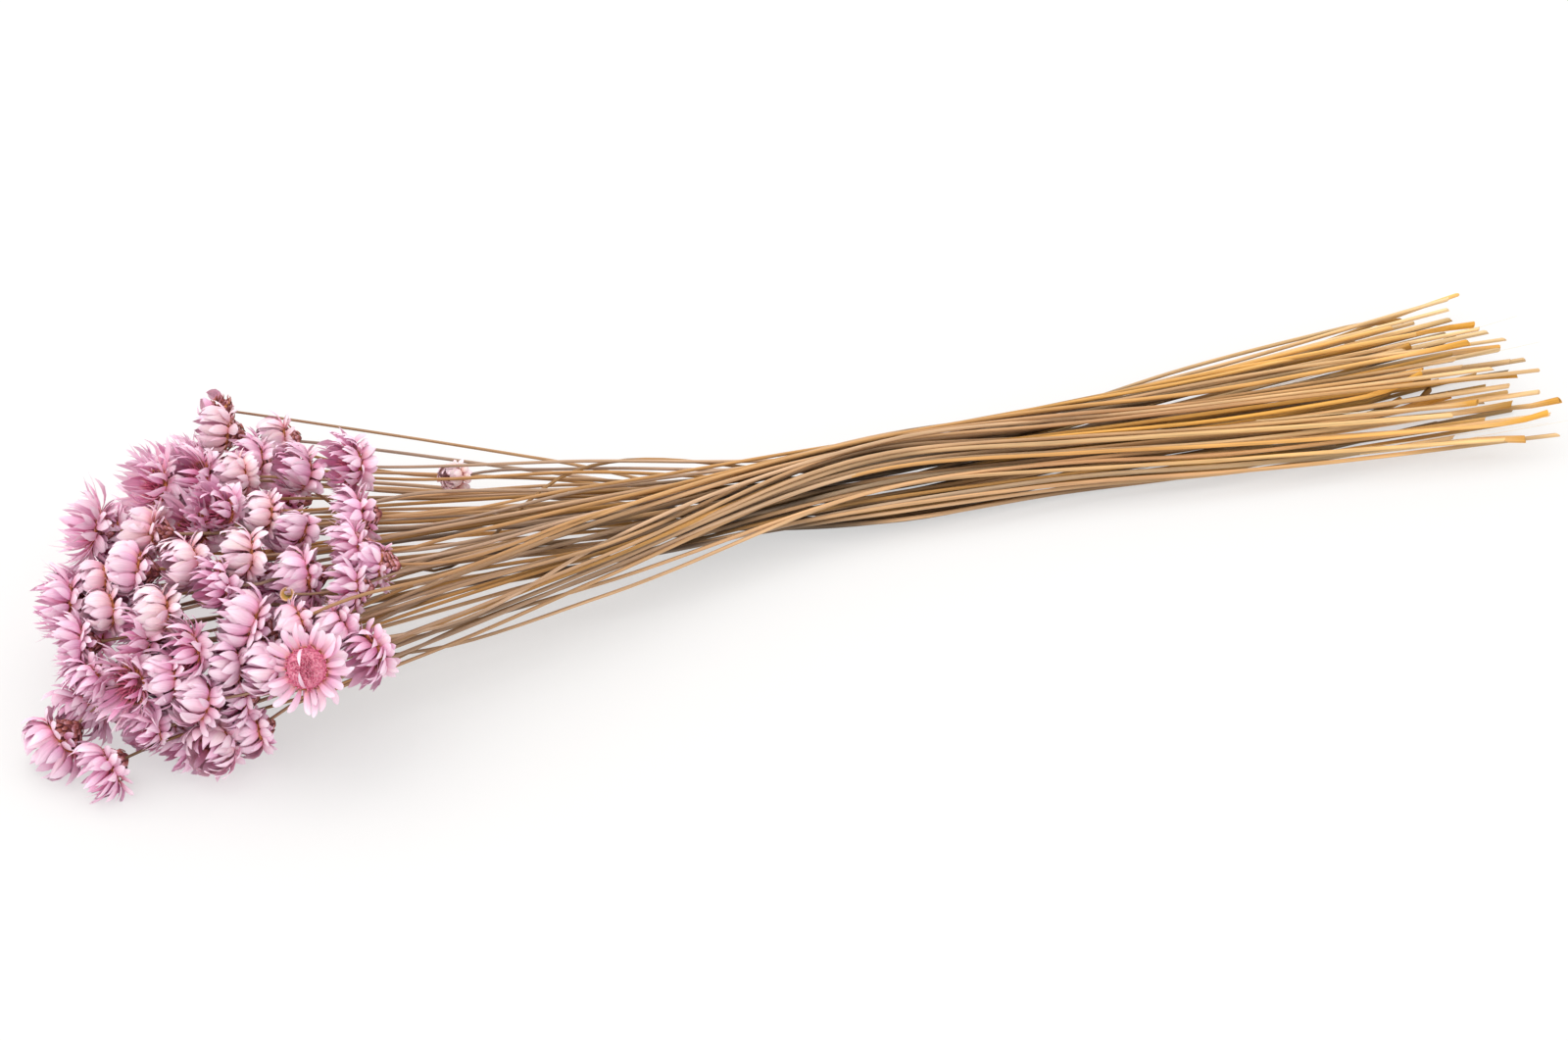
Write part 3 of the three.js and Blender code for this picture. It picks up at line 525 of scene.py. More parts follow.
def bracts(about, rows, columns, thick):
    """Thin closed leaves. A leaf's middle line is an arc whose lean from the axis goes evenly
    from its foot's to its tip's. Its half width rises as a sine to its widest place and falls
    away to the tip by a power. Across, it is bent towards the axis by the square of the place
    and thickened by what that leaves. It lies a little askew over its neighbour, with a twist
    and a ruffle that grow along it."""
    t = np.append(rows, [0, 1])[None, :, None]
    s = np.asarray(columns, float)[None, None, :]
    side_sign = np.where(np.arange(len(columns)) <= len(columns) // 2, 1, -1)[None, None, :]
    col = {key: np.asarray(value, float)[:, None, None] for key, value in about.items()}
    first, turned = col["lean"], col["tip_lean"] - col["lean"]
    turned = np.where(abs(turned) < LEAST_BEND, LEAST_BEND, turned)
    lean = first + turned * t
    radius = col["radius"] + col["length"] / turned * (np.cos(first) - np.cos(lean))
    height = col["height"] + col["length"] / turned * (np.sin(lean) - np.sin(first))
    rise = col["foot"] + (1 - col["foot"]) * np.sin(np.pi / 2 * np.minimum(t / col["peak"], 1))
    fall = 1 - np.clip((t - col["peak"]) / (1 - col["peak"]), 0, 1) ** col["blunt"]
    half = col["width"] / 2 * rise * fall
    around = col["turn"] + col["swing"] * t ** 2
    out = np.stack([np.cos(around), np.sin(around), 0 * around], -1)
    side = np.stack([-np.sin(around), np.cos(around), 0 * around], -1)
    up = np.array([0.0, 0.0, 1.0])
    normal = out * np.cos(lean)[..., None] - up * np.sin(lean)[..., None]
    twist = (col["tile"] + col["twist"] * t)[..., None]
    side, normal = (side * np.cos(twist) + normal * np.sin(twist),
                    normal * np.cos(twist) - side * np.sin(twist))
    middle = out * radius[..., None] + up * height[..., None]
    lift = (-col["curl"] * half * s ** 2 + side_sign * thick / 2 * (1 - s ** 2) * np.sqrt(fall)
            + col["ruffle"] * half * s * np.sin(2 * np.pi * (RUFFLE_WAVES * t + col["phase"])))
    points = middle + side * (half * s)[..., None] + normal * lift[..., None]
    count, ring = len(points), len(columns)
    body = points[:, :len(rows)].reshape(count, -1, 3)
    ends = middle[:, len(rows):, 0]
    points = np.concatenate([body, ends], 1)
    u = np.concatenate([np.tile((s[0, 0] + 1) / 2, len(rows)), [0.5, 0.5]])
    v = np.concatenate([np.repeat(rows, ring), [0, 1]])
    uv = np.broadcast_to(np.stack([u, v], -1), (count, len(u), 2))
    tint = np.broadcast_to(np.asarray(about["tint"])[:, None, :], (count, len(u), 3))
    quads, tris = tube_faces(count, len(rows), ring)
    return points.reshape(-1, 3), quads, tris, uv.reshape(-1, 2), tint.reshape(-1, 3)


def stray_by(rng, spread, count):
    """So many draws, up to a spread both ways."""
    return rng.uniform(-spread, spread, count)


def layer(rng, head, row, tone, kept_share=1):
    """One ring of bracts: evenly spaced round the axis, each one's place, lean, size and tint
    drawn a little off."""
    count, radius, height, length, width, lean, tip_lean, stray, cream, deep, blunt, left = row
    kept = np.nonzero(rng.random(count) < left * kept_share)[0]
    n = len(kept)
    spread = dict(STRAY, lean=stray, tip_lean=2 * stray)

    def off(key):
        return stray_by(rng, spread[key], n)

    start = head["turn"] + rng.uniform(0, 2 * np.pi)
    tint = np.stack([np.clip(cream + tone[0] + off("tint"), 0, 1),
                     np.clip(deep + tone[1] + off("tint"), 0, 1), rng.random(n)], 1)
    return {
        "turn": start + (kept + off("turn")) * 2 * np.pi / count,
        "radius": radius + off("radius"), "height": height + off("height"),
        "length": length * (1 + off("length")), "width": width * (1 + off("width")),
        "lean": np.radians(lean + off("lean")), "tip_lean": np.radians(tip_lean + off("tip_lean")),
        "foot": np.full(n, BRACT_FOOT), "peak": BRACT_PEAK + off("peak"),
        "blunt": blunt + off("blunt"),
        "curl": (BRACT_CURL + off("curl")) * (1 if lean < BENT_BACK else -1),
        "tile": BRACT_TILE + off("tile"), "twist": off("twist"), "swing": off("swing"),
        "ruffle": off("ruffle"), "phase": rng.random(n), "tint": tint,
    }


def scales(rng, head, tone):
    """The cone's small scales: rings that lie over each other like tiles, tips standing off."""
    rings = [layer(rng, head, (count, radius, height, SCALE_LENGTH, SCALE_WIDTH, SCALE_LEAN,
                               SCALE_TIP_LEAN, SCALE_STRAY, 0, SCALE_DEEP, SCALE_BLUNT, 1.0), tone)
             for count, radius, height
             in SCALE_RINGS + (SEED_RINGS if head["index"] + 1 == SEED_HEAD else ())]
    return {key: np.concatenate([ring[key] for ring in rings]) for key in rings[0]}


def florets(rng, head, count, field, height, length):
    """The heart's florets: a sunflower spiral of little spikes that lean out with their radius."""
    k = np.arange(count)
    radius = field * np.sqrt((k + 0.5) / count)
    about = layer(rng, head, (count, 0, height, length, FLORET_WIDTH, 0, 0, 0, 0, FLORET_DEEP,
                              FLORET_BLUNT, 1.0), (0, 0))
    about["turn"] = k * math.pi * (3 - math.sqrt(5)) + stray_by(rng, FLORET_OFF, count)
    about["radius"] = radius
    about["height"] = height - FIELD_FALL * radius ** 2 + stray_by(rng, FLORET_OFF, count)
    about["lean"] = np.radians(FLORET_LEAN * radius / field + stray_by(rng, FLORET_STRAY, count))
    about["tip_lean"] = about["lean"] + np.radians(FLORET_CURVE)
    about["foot"][:] = FLORET_FOOT
    return about


def angles_of(sides):
    """Even turns once round, in radians."""
    return np.arange(sides) * 2 * np.pi / sides


def closed_tube(rings, foot, tip, along, tints, order=1):
    """A tube through rings of points with a fan at each end: its points, quads, triangles, uv
    and tint. Each ring has its place along and its tint, and the ends have their ring's. The
    faces' order is -1 where the rings run the other way round."""
    rows, sides = rings.shape[:2]
    quads, tris = tube_faces(1, rows, sides)
    u = np.append(np.tile(angles_of(sides) / (2 * np.pi), rows), [0.5, 0.5])
    v = np.append(np.repeat(along, sides), [along[0], along[-1]])
    tint = np.vstack([np.repeat(tints, sides, axis=0), tints[0], tints[-1]])
    return (np.vstack([rings.reshape(-1, 3), foot, tip]), quads[:, ::order], tris[:, ::order],
            np.stack([u, v], -1), tint)


def carried_round(profile, sides):
    """A profile of radius and height carried round the axis."""
    a = angles_of(sides)
    return np.stack([profile[:, :1] * np.cos(a), profile[:, :1] * np.sin(a),
                     profile[:, 1:] + 0 * a], -1)


def turned_body(profile, sides):
    """A turned surface: the profile's inner points carried round, closed at its two ends."""
    profile = np.asarray(profile, float)
    rings = carried_round(profile[1:-1], sides)
    return closed_tube(rings, (0, 0, profile[0, 1]), (0, 0, profile[-1, 1]),
                       np.linspace(0, 1, len(rings)), np.full((len(rings), 3), 0.5))


# The cone's and the hinge ring's profiles: radius, and height over the hinge.
CONE = ((0, -5.5), (0.8, -5.2), (1.5, -4.4), (2.4, -3.2), (3.2, -2.0), (3.8, -0.9), (4.2, 0),
        (4.1, 0.4), (3.0, 0.9), (0, 1.1))
CLAW_RING = ((4.2, -0.5), (4.8, -0.35), (5.0, 0), (4.8, 0.35), (4.2, 0.5))
CLAW_RIPPLE, CLAW_RIPPLES = 0.22, 11
CONE_SIDES, CLAW_SIDES, DISC_SIDES = 12, 22, 20


def claw_ring(sides):
    """The hinge: a thin ring where the bracts' claws meet, its height rippling round the axis."""
    a = angles_of(sides)
    ring = carried_round(np.asarray(CLAW_RING), sides)
    ring[..., 2] += CLAW_RIPPLE * np.sin(CLAW_RIPPLES * a)
    n = len(ring)
    r, k = np.meshgrid(np.arange(n), np.arange(sides), indexing="ij")
    index, after = r * sides, ((r + 1) % n) * sides
    quads = np.stack([index + k, index + (k + 1) % sides, after + (k + 1) % sides, after + k],
                     -1).reshape(-1, 4)
    uv = np.stack([np.tile(a / (2 * np.pi), n), np.repeat(np.linspace(0, 1, n), sides)], -1)
    return ring.reshape(-1, 3), quads, np.zeros((0, 3), int), uv, np.full((n * sides, 3), 0.5)


def facing(axis):
    """The turn that carries +Z straight over to the axis, as the columns of a matrix."""
    v = np.cross([0, 0, 1], axis)
    c = axis[2]
    k = np.array([[0, -v[2], v[1]], [v[2], 0, -v[0]], [-v[1], v[0], 0]])
    return np.eye(3) + k + k @ k / (1 + c)


def nearest_on(a, b, place):
    """The point of each stretch a to b that is nearest to a place."""
    run = b - a
    t = np.clip(((place - a) * run).sum(-1) / (run * run).sum(-1), 0, 1)
    return a + run * t[..., None]


VISIBLE = len(ON_HEAP) + len(BESIDE_HEAP)
STRETCHES = [(stem["index"], stem["points"][:-1], stem["points"][1:]) for stem in STEMS]


def room_of(head):
    """The room round a head: directions from its hinge's middle, how far a bract may reach along
    each and how much of the rest it keeps, towards the floor, other heads and other stems."""
    walls = [(np.array([0, 0, -1.0]), head["place"][2] - FLOOR_FREE, 0)]
    low, high = (np.array(corner) / MM + BOX_MIDDLE for corner in CAD_BOX)
    for axis in np.eye(3):
        walls.append((axis, (high - head["place"]) @ axis + BOX_MARGIN, SOFT_BOX))
        walls.append((-axis, (head["place"] - low) @ axis + BOX_MARGIN, SOFT_BOX))
    for other in HEADS:
        away = other["place"] - head["place"]
        far = float(np.linalg.norm(away))
        if 0 < far < NEAR_HEADS:
            share = far * head["reach"] / (head["reach"] + other["reach"])
            walls.append((away / far, share, SOFT_HEADS))
    for index, a, b in STRETCHES:
        if index == head["index"]:
            continue
        away = nearest_on(a, b, head["place"]) - head["place"]
        far = np.linalg.norm(away, axis=1)
        for k in np.nonzero(far < NEAR_STEMS)[0]:
            walls.append((away[k] / far[k], far[k] - STEM_FREE, SOFT_STEMS))
    return walls


def press(points, walls):
    """Draws each point in towards the middle where it reaches past a wall, by the wall's share."""
    share = np.ones(len(points))
    for out, room, soft in walls:
        reach = points @ out
        limit = (room + soft * (reach - room)) / np.maximum(reach, NO_LENGTH)
        limit = np.where(reach > room, limit, 1)
        share = np.minimum(share, limit)
    return points * share[:, None]


def cover_of(points, hubs):
    """The painted shade at each point, by how far it lies inside the heap, from 0 to nearly 1: a
    sum over the heads between it and the light, less for those further aside or off, brought under
    1."""
    cover = np.zeros(len(points))
    for hub in hubs:
        run = hub - points
        above = run @ LIGHT_WAY
        aside = (run * run).sum(1) - above ** 2
        cover += (np.exp(-aside / COVER_ASIDE ** 2 - above / COVER_FAR)
                  * np.clip(above / COVER_ABOVE, 0, 1))
    return 1 - np.exp(-cover / COVER_FULL)


# Heads whose bracts are creamier or deeper pink than their form's, by their number.
TONES = {1: (0.4, -0.1), 8: (0.35, -0.1), 10: (0.3, -0.1), 12: (0.3, 0), 13: (0.3, -0.1),
         14: (0, 0.15), 20: (0.2, 0), 22: (0.2, 0), 24: (0, 0.3), 25: (0.3, -0.1), 27: (0, 0.15),
         43: (0.3, -0.1), 44: (0.3, 0), 45: (0, 0.15), 54: (0.1, 0.2), 57: (0.6, -0.2)}

# The materials of a head's and of a strand's parts, in their order.
CORE, CLAW, SCALE, BRACT, FLORET = range(5)
STRAW, DISHED = range(2)


def dress_head(head):
    """One head's parts in the bunch's frame: every part with its material's number."""
    rng = np.random.default_rng(HEAD_SEED + head["index"])
    number, form = head["index"] + 1, head["form"]
    tone = TONES.get(number, (0.0, 0.0)) if number <= VISIBLE else TUFT_TONE
    cone = bracts(scales(rng, head, (0, tone[1])), SMALL_ROWS, SMALL_COLUMNS, SCALE_THICK)
    parts = [(turned_body(CONE, CONE_SIDES), CORE), (claw_ring(CLAW_SIDES), CLAW), (cone, SCALE)]
    for rows, left in zip((BACK_RINGS, FRONT_LAYERS[form]), WORN.get(number, (1, 1))):
        for row in rows:
            about = layer(rng, head, row, tone, left)
            columns = SMALL_COLUMNS if row[WIDTH_AT] < NARROW else BRACT_COLUMNS
            if len(about["turn"]):
                parts.append((bracts(about, BRACT_ROWS, columns, BRACT_THICK), BRACT))
    if form == "daisy":
        parts.append((turned_body(DISC, DISC_SIDES), FLORET))
    if form in FLORETS:
        heart = florets(rng, head, *FLORETS[form])
        parts.append((bracts(heart, SMALL_ROWS[:2], SMALL_COLUMNS, FLORET_THICK), FLORET))
    nod = stray_by(rng, NOD, 3) - FORWARD * NOD_NEAR
    if form == "daisy":
        nod = 0
    if number == SEED_HEAD:
        nod = SEED_NOD
    turn = facing(unit(head["axis"] + nod))
    size = head["size"] * BLOOM * (SMALL_SHARE if number == SMALL_HEAD else 1)
    walls = room_of(head)
    away = np.array([other["place"] for other in HEADS]) - head["place"]
    away = away[np.linalg.norm(away, axis=1) < COVER_REACH]
    placed = []
    for (points, quads, tris, uv, tint), material in parts:
        arm = press(points * size @ turn.T, walls)
        # The tint's fourth part is the painted shade of each point.
        tint = np.concatenate([tint, cover_of(arm, away)[:, None]], 1)
        placed.append((arm + head["place"], quads, tris, uv, tint, material))
    return placed


# Painted shade on the stems: a stem is inside the bunch, and painted darker, by what lies over it
# within these mm, towards the eye's side.
SHADE_SLANT, SHADE_ASIDE, SHADE_ABOVE, SHADE_HIGH, SHADE_COVER = 0.8, 1.3, 0.5, 9.0, 1.1
SHADE_XS = np.arange(-210.0, 241.0, 5.0)
STEM_SEED = 5000
STEM_SAMPLES = 60
STEM_SIDES = 8
# How far a stem runs on into its head.
STEM_ROOT = 1.2
# A stem's half thickness from its head to its cut end, by its length's share, and the factor
# that each stem draws for its own.
STEM_SHARE = (0, 0.04, 0.3, 0.7, 1)
STEM_RADIUS = (0.44, 0.48, 0.58, 0.66, 0.7)
STEM_STOUT = (0.85, 1.15)
# A stem wavers by these mm, so many times over its length, and stays just off the floor.
SWAY, SWAY_WAVES = (0.15, 0.4), (2, 4)
OFF_FLOOR = 0.02
# Some stems were torn off with a heel: a thicker, golden last stretch that bends away by these mm.
HEEL_CHANCE = 0.42
HEEL_LENGTH = (9, 26)
HEEL_ASIDE, HEEL_RISE = (1.5, 5), (-0.5, 4.5)
HEEL_SWELL = 0.55
HEEL_TINT = 2
# The cut is slanted by these mm, towards a turn drawn in radians. Its rim goes in to this share
# of the thickness, with this much of the hollow's painted shade, round a hollow so many mm deep.
CUT_SLANT, CUT_TURN = (0.2, 0.9), (0, 6)
RIM_SHARE, RIM_SHADE, WELL_DEPTH = 0.62, 0.35, 0.9
# Fine fibres that lie along some stems and end past them: radius and length, mm.
FIBRE_SEED = 7000
FIBRE_CHANCE = 0.16
FIBRE_RADIUS, FIBRE_TAPER, FIBRE_SIDES = 0.13, 0.8, 3
FIBRE_LENGTH = (60, 130)
FIBRE_SAMPLES = 24
# The last share of a fibre runs past its stem by these mm, the way that the stem's last samples
# go, and no further along X than this.
FIBRE_FREE, FIBRE_PAST, FIBRE_WAY, FIBRE_END = 0.25, (2, 14), 6, 240
# A fibre lies this far beside and over its stem, drifts by these mm to its end and ends in a
# short point.
FIBRE_OFF = (0.9, 1.0)
FIBRE_ASIDE, FIBRE_RISE = (-6, 9), (0, 5)
FIBRE_POINT = 0.2
# A fibre is coloured as a straw is from here to its cut end.
FIBRE_TONE = 0.9
FIBRE_TINT = (0, 0.3, 0, 0)
# The dish that a lost head sat on: radius, and height over its rim's foot.
DISH = ((0, -2.2), (0.6, -2.1), (1.1, -1.4), (1.8, -0.4), (2.1, 0.2), (1.9, 0.45), (1.45, 0.2),
        (0.9, -0.5), (0.4, -0.8), (0, -0.85))
DISH_WAY = np.array([-0.35, -0.55, 0.75])
DISH_SIDES = 18


def smooth_line(points, samples):
    """A smooth line through points: cubic arcs by length, each point's slope weighed between its
    two stretches."""
    step = np.linalg.norm(np.diff(points, axis=0), axis=1)
    at = np.append(0, np.cumsum(step))
    run = np.diff(points, axis=0) / step[:, None]
    slope = np.vstack([run[0], (run[:-1] * step[1:, None] + run[1:] * step[:-1, None])
                       / (step[1:] + step[:-1])[:, None], run[-1]])
    where = at[-1] * np.linspace(0, 1, samples)
    k = np.clip(np.searchsorted(at, where, side="right") - 1, 0, len(step) - 1)
    t = ((where - at[k]) / step[k])[:, None]
    h = step[k][:, None]
    line = ((2 * t ** 3 - 3 * t ** 2 + 1) * points[k] + (t ** 3 - 2 * t ** 2 + t) * h * slope[k]
            + (3 * t ** 2 - 2 * t ** 3) * points[k + 1] + (t ** 3 - t ** 2) * h * slope[k + 1])
    return line, where


def inner_shades():
    """The painted shade on each stem at places along X, by how far it lies inside the bunch, from 0
    to
    nearly 1: a sum over the stems above it, less for those further aside or higher, brought under
    1."""
    y = np.stack([np.interp(SHADE_XS, *stem["points"][:, [0, 1]].T) for stem in STEMS], 1)
    z = np.stack([np.interp(SHADE_XS, *stem["points"][:, [0, 2]].T) for stem in STEMS], 1)
    aside = y[:, None, :] - y[:, :, None] + SHADE_SLANT * (z[:, None, :] - z[:, :, None])
    above = z[:, None, :] - z[:, :, None]
    cover = (np.exp(-(aside / SHADE_ASIDE) ** 2) * (above > SHADE_ABOVE)
             * np.exp(-above / SHADE_HIGH)).sum(2)
    return 1 - np.exp(-cover / SHADE_COVER)


INNER = inner_shades()


def spokes_along(line, sides):
    """A line's way at each of its points, and a ring of unit spokes square to it there."""
    way = unit(np.gradient(line, axis=0))
    side = unit(np.cross(way, [0, 0, 1]))
    over = np.cross(side, way)
    a = angles_of(sides)[:, None]
    return way, side[:, None] * np.cos(a) + over[:, None] * np.sin(a)


def stem_parts(stem):
    """One straw: a round tube along the smooth line of its route, wavering a little, some with
    a bent last stretch, thickening to the cut end, whose rim turns in to a hollow."""
    rng = np.random.default_rng(STEM_SEED + stem["index"])
    points = stem["points"]
    if stem["head"] >= 0:
        points = np.vstack([points[0] + stem["axis"] * STEM_ROOT, points])
    line, where = smooth_line(points, STEM_SAMPLES)
    share = where / where[-1]
    thick = np.interp(share, STEM_SHARE, STEM_RADIUS) * rng.uniform(*STEM_STOUT)
    sway = np.sin(np.pi * share) * rng.uniform(*SWAY)
    for axis in (1, 2):
        turns = share * rng.uniform(*SWAY_WAVES) + rng.random()
        line[:, axis] += sway * np.sin(2 * np.pi * turns)
    heel = np.zeros(len(where))
    if rng.random() < HEEL_CHANCE and stem["head"] >= 0:
        heel = np.clip(1 - (where[-1] - where) / rng.uniform(*HEEL_LENGTH), 0, 1)
        line[:, 1] += heel ** 2 * rng.choice((-1, 1)) * rng.uniform(*HEEL_ASIDE)
        line[:, 2] += heel ** 2 * rng.uniform(*HEEL_RISE)
        thick = thick * (1 + HEEL_SWELL * heel)
    line[:, 2] = np.maximum(line[:, 2], thick + OFF_FLOOR)
    way, spoke = spokes_along(line, STEM_SIDES)
    tube = line[:, None, :] + spoke * thick[:, None, None]
    slant = np.cos(angles_of(STEM_SIDES) + rng.uniform(*CUT_TURN)) * rng.uniform(*CUT_SLANT)
    tube[-1] += way[-1] * slant[:, None]
    rim = line[-1] + spoke[-1] * thick[-1] * RIM_SHARE
    depth = way[-1] * WELL_DEPTH
    # The painted shade along this stem.
    inner = np.interp(line[:, 0], SHADE_XS, INNER[:, stem["index"]])
    tints = np.stack([rng.random() + HEEL_TINT * heel, rng.random() + 0 * heel, 0 * heel, inner], 1)
    tints = np.vstack([tints, tints[-1], tints[-1]])
    # The rim and the bottom of the hollow take painted shade, the rim a share of it.
    tints[-2:, 2] = RIM_SHADE, 1
    return *closed_tube(np.concatenate([tube, [rim, rim - depth]]), line[0], line[-1] - depth,
                        np.append(share, [1, 1]), tints, -1), STRAW


def dish_parts(stem):
    """The end of the stem that lost its head: the pale dish that the head sat on, a turned shape
    with a raised rim and a hollow, facing up towards the eye."""
    dish, quads, tris, uv, tint = turned_body(DISH, DISH_SIDES)
    points = dish @ facing(unit(DISH_WAY)).T + stem["points"][0]
    return points, quads, tris, uv, np.insert(tint, 3, 0, axis=1), DISHED


def fibre_parts(stem):
    """A few stems have a fine pale fibre by them: a thin three-sided tube that follows the last
    part of the stem's line, drifts off it and ends in a point past it."""
    rng = np.random.default_rng(FIBRE_SEED + stem["index"])
    if rng.random() > FIBRE_CHANCE:
        return []
    line, where = smooth_line(stem["points"], STEM_SAMPLES)
    t = np.linspace(0, 1, FIBRE_SAMPLES)
    at = where[-1] - rng.uniform(*FIBRE_LENGTH) * (1 - t)
    place = np.stack([np.interp(at, where, line[:, axis]) for axis in range(3)], 1)
    past = np.clip(t - (1 - FIBRE_FREE), 0, 1) / FIBRE_FREE * rng.uniform(*FIBRE_PAST)
    place += unit(line[-1] - line[-FIBRE_WAY]) * past[:, None]
    place[:, 0] = np.minimum(place[:, 0], FIBRE_END)
    drift = np.array([rng.uniform(*FIBRE_ASIDE), rng.uniform(*FIBRE_RISE)])
    place[:, 1:] += t[:, None] ** 2 * drift + FIBRE_OFF
    way, spoke = spokes_along(place, FIBRE_SIDES)
    rings = place[:, None, :] + spoke * (FIBRE_RADIUS * (1 - FIBRE_TAPER * t))[:, None, None]
    foot, tip = place[0] - way[0] * FIBRE_POINT, place[-1] + way[-1] * FIBRE_POINT
    return [(*closed_tube(rings, foot, tip, np.linspace(FIBRE_TONE, 1, FIBRE_SAMPLES),
                          np.tile(FIBRE_TINT, (FIBRE_SAMPLES, 1)), -1), STRAW)]


# A quad that is wider than this in u crosses the seam, and its low corners go past 1.
SEAM_WIDTH, SEAM_LOW = 0.6, 0.3
SHARP_DEGREES = 55


def make_piece(name, parts, materials):
    """A mesh object from parts of points, quads, triangles, uv and tint, each with its
    material's number. Points come in mm in the bunch's frame and go to metres in the part's."""
    points, quads, tris, uv, tint, numbers = zip(*parts)
    first = np.cumsum([0] + [len(group) for group in points])
    slots = np.concatenate([np.full(len(faces), number) for kind in (quads, tris)
                            for faces, number in zip(kind, numbers)])
    points = (np.concatenate(points) - BOX_MIDDLE) * MM
    quads, tris = (np.concatenate([faces + f for faces, f in zip(kind, first)])
                   for kind in (quads, tris))
    corners = np.concatenate([quads.ravel(), tris.ravel()]).astype(np.int32)
    starts = np.concatenate([np.arange(len(quads)) * 4, len(quads) * 4 + np.arange(len(tris)) * 3])
    mesh = bpy.data.meshes.new(name)
    mesh.vertices.add(len(points))
    mesh.vertices.foreach_set("co", points.astype(np.float32).ravel())
    mesh.loops.add(len(corners))
    mesh.loops.foreach_set("vertex_index", corners)
    mesh.polygons.add(len(starts))
    mesh.polygons.foreach_set("loop_start", starts.astype(np.int32))
    mesh.polygons.foreach_set("material_index", slots.astype(np.int32))
    flat_uv = np.concatenate(uv)[corners]
    wide = flat_uv[:len(quads) * 4, 0].reshape(-1, 4)
    seam = (wide.max(1) - wide.min(1)) > SEAM_WIDTH
    wide[seam] = np.where(wide[seam] < SEAM_LOW, wide[seam] + 1, wide[seam])
    flat_uv[:len(quads) * 4, 0] = wide.ravel()
    mesh.uv_layers.new(name="along").data.foreach_set("uv", flat_uv.astype(np.float32).ravel())
    mesh.update(calc_edges=True)
    shade = mesh.attributes.new("tint", "FLOAT_COLOR", "POINT")
    shade.data.foreach_set("color", np.concatenate(tint).astype(np.float32).ravel())
    for material in materials:
        mesh.materials.append(material)
    mesh.shade_smooth()
    mesh.set_sharp_from_angle(angle=math.radians(SHARP_DEGREES))
    piece = bpy.data.objects.new(name, mesh)
    bpy.context.scene.collection.objects.link(piece)
    return piece


def add(tree, kind, sockets=None, stops=(), **settings):
    """Adds a shader node: its settings, its ramp's stops, and its inputs, each a value, an
    output, or a node that stands for its first output in use."""
    node = tree.nodes.new("ShaderNode" + kind)
    for key, value in settings.items():
        setattr(node, key, value)
    for key, value in (sockets or {}).items():
        if isinstance(value, bpy.types.Node):
            value = next(output for output in value.outputs if output.enabled)
        if isinstance(value, bpy.types.NodeSocket):
            tree.links.new(value, node.inputs[key])
        else:
            node.inputs[key].default_value = value
    if stops:
        ramp = node.color_ramp.elements
        while len(ramp) < len(stops):
            ramp.new(1)
        for element, (position, colour) in zip(ramp, stops):
            element.position = position
            element.color = linear(colour)
    return node


def new_material(name):
    """An empty node material, by the real material's name, and its node tree."""
    material = bpy.data.materials.new(name)
    material.use_nodes = True
    material.node_tree.nodes.clear()
    return material, material.node_tree


# A dry plant skin's refraction and gloss, and how far light goes into one that lets it through:
# mm, with the share of it for red, green and blue.
PLANT_IOR, PLANT_GLOSS = 1.45, 0.35
LIGHT_DEPTH, LIGHT_SHARES = 0.4, (1.0, 0.5, 0.6)
# Noise lies mostly between these.
GRAIN_ENDS = (0.3, 0.7)


def finish_material(material, colour, height, roughness, bump_mm, strength, translucent=0.0):
    """The closing nodes that all dry plant skins here share: a bump, the shader, the output."""
    tree = material.node_tree
    bump = add(tree, "Bump", {"Height": height, "Distance": bump_mm * MM, "Strength": strength})
    shader = add(tree, "BsdfPrincipled", {
        "Base Color": colour, "Roughness": roughness, "IOR": PLANT_IOR,
        "Specular IOR Level": PLANT_GLOSS, "Normal": bump, "Subsurface Weight": translucent,
        "Subsurface Radius": LIGHT_SHARES, "Subsurface Scale": LIGHT_DEPTH * MM})
    add(tree, "OutputMaterial", {"Surface": shader})
    return material


def place_along(tree):
    """Where a skin lies on its piece: u round or across it, and v along it from 0 to 1."""
    return add(tree, "SeparateXYZ", {0: add(tree, "UVMap", uv_map="along")}).outputs[:2]


def tint_parts(tree):
    """The tint's three parts, and its fourth: how far inside the bunch the skin lies, which sets
    its painted shade.
    """
    tint = add(tree, "Attribute", attribute_name="tint")
    return *add(tree, "SeparateColor", {0: tint}).outputs, tint.outputs["Alpha"]


def grain_of(tree, size_mm):
    """Noise in the piece's own space, its grains about so many mm long."""
    here = add(tree, "TexCoord").outputs["Object"]
    return add(tree, "TexNoise", {"Vector": here, "Scale": 1 / (size_mm * MM), "Detail": 2.0})


def streaks_of(tree, place, counts, detail):
    """Noise drawn out along the piece: so many streaks across or round it and so many along it.
    The third of the place is a chance, which gives every bract or straw its own."""
    grid = [add(tree, "Math", {0: value, 1: count}, operation="MULTIPLY")
            for value, count in zip(place, counts)]
    grid = add(tree, "CombineXYZ", dict(enumerate(grid)))
    return add(tree, "TexNoise", {"Vector": grid, "Scale": 1.0, "Detail": detail,
                                  "Roughness": 0.6})


def lighten(tree, colour, value, ends, lights):
    """A colour times a light that goes evenly between two lights as a value does its ends."""
    light = add(tree, "MapRange", dict(enumerate((value, *ends, *lights))))
    return add(tree, "VectorMath", {0: colour, "Scale": light}, operation="SCALE")


def spotted_skin(name, grain_mm, stops, *surface):
    """A dry skin whose colour goes with its grain."""
    material, tree = new_material(name)
    grain = grain_of(tree, grain_mm)
    return finish_material(material, add(tree, "ValToRGB", {0: grain}, stops), grain, *surface)


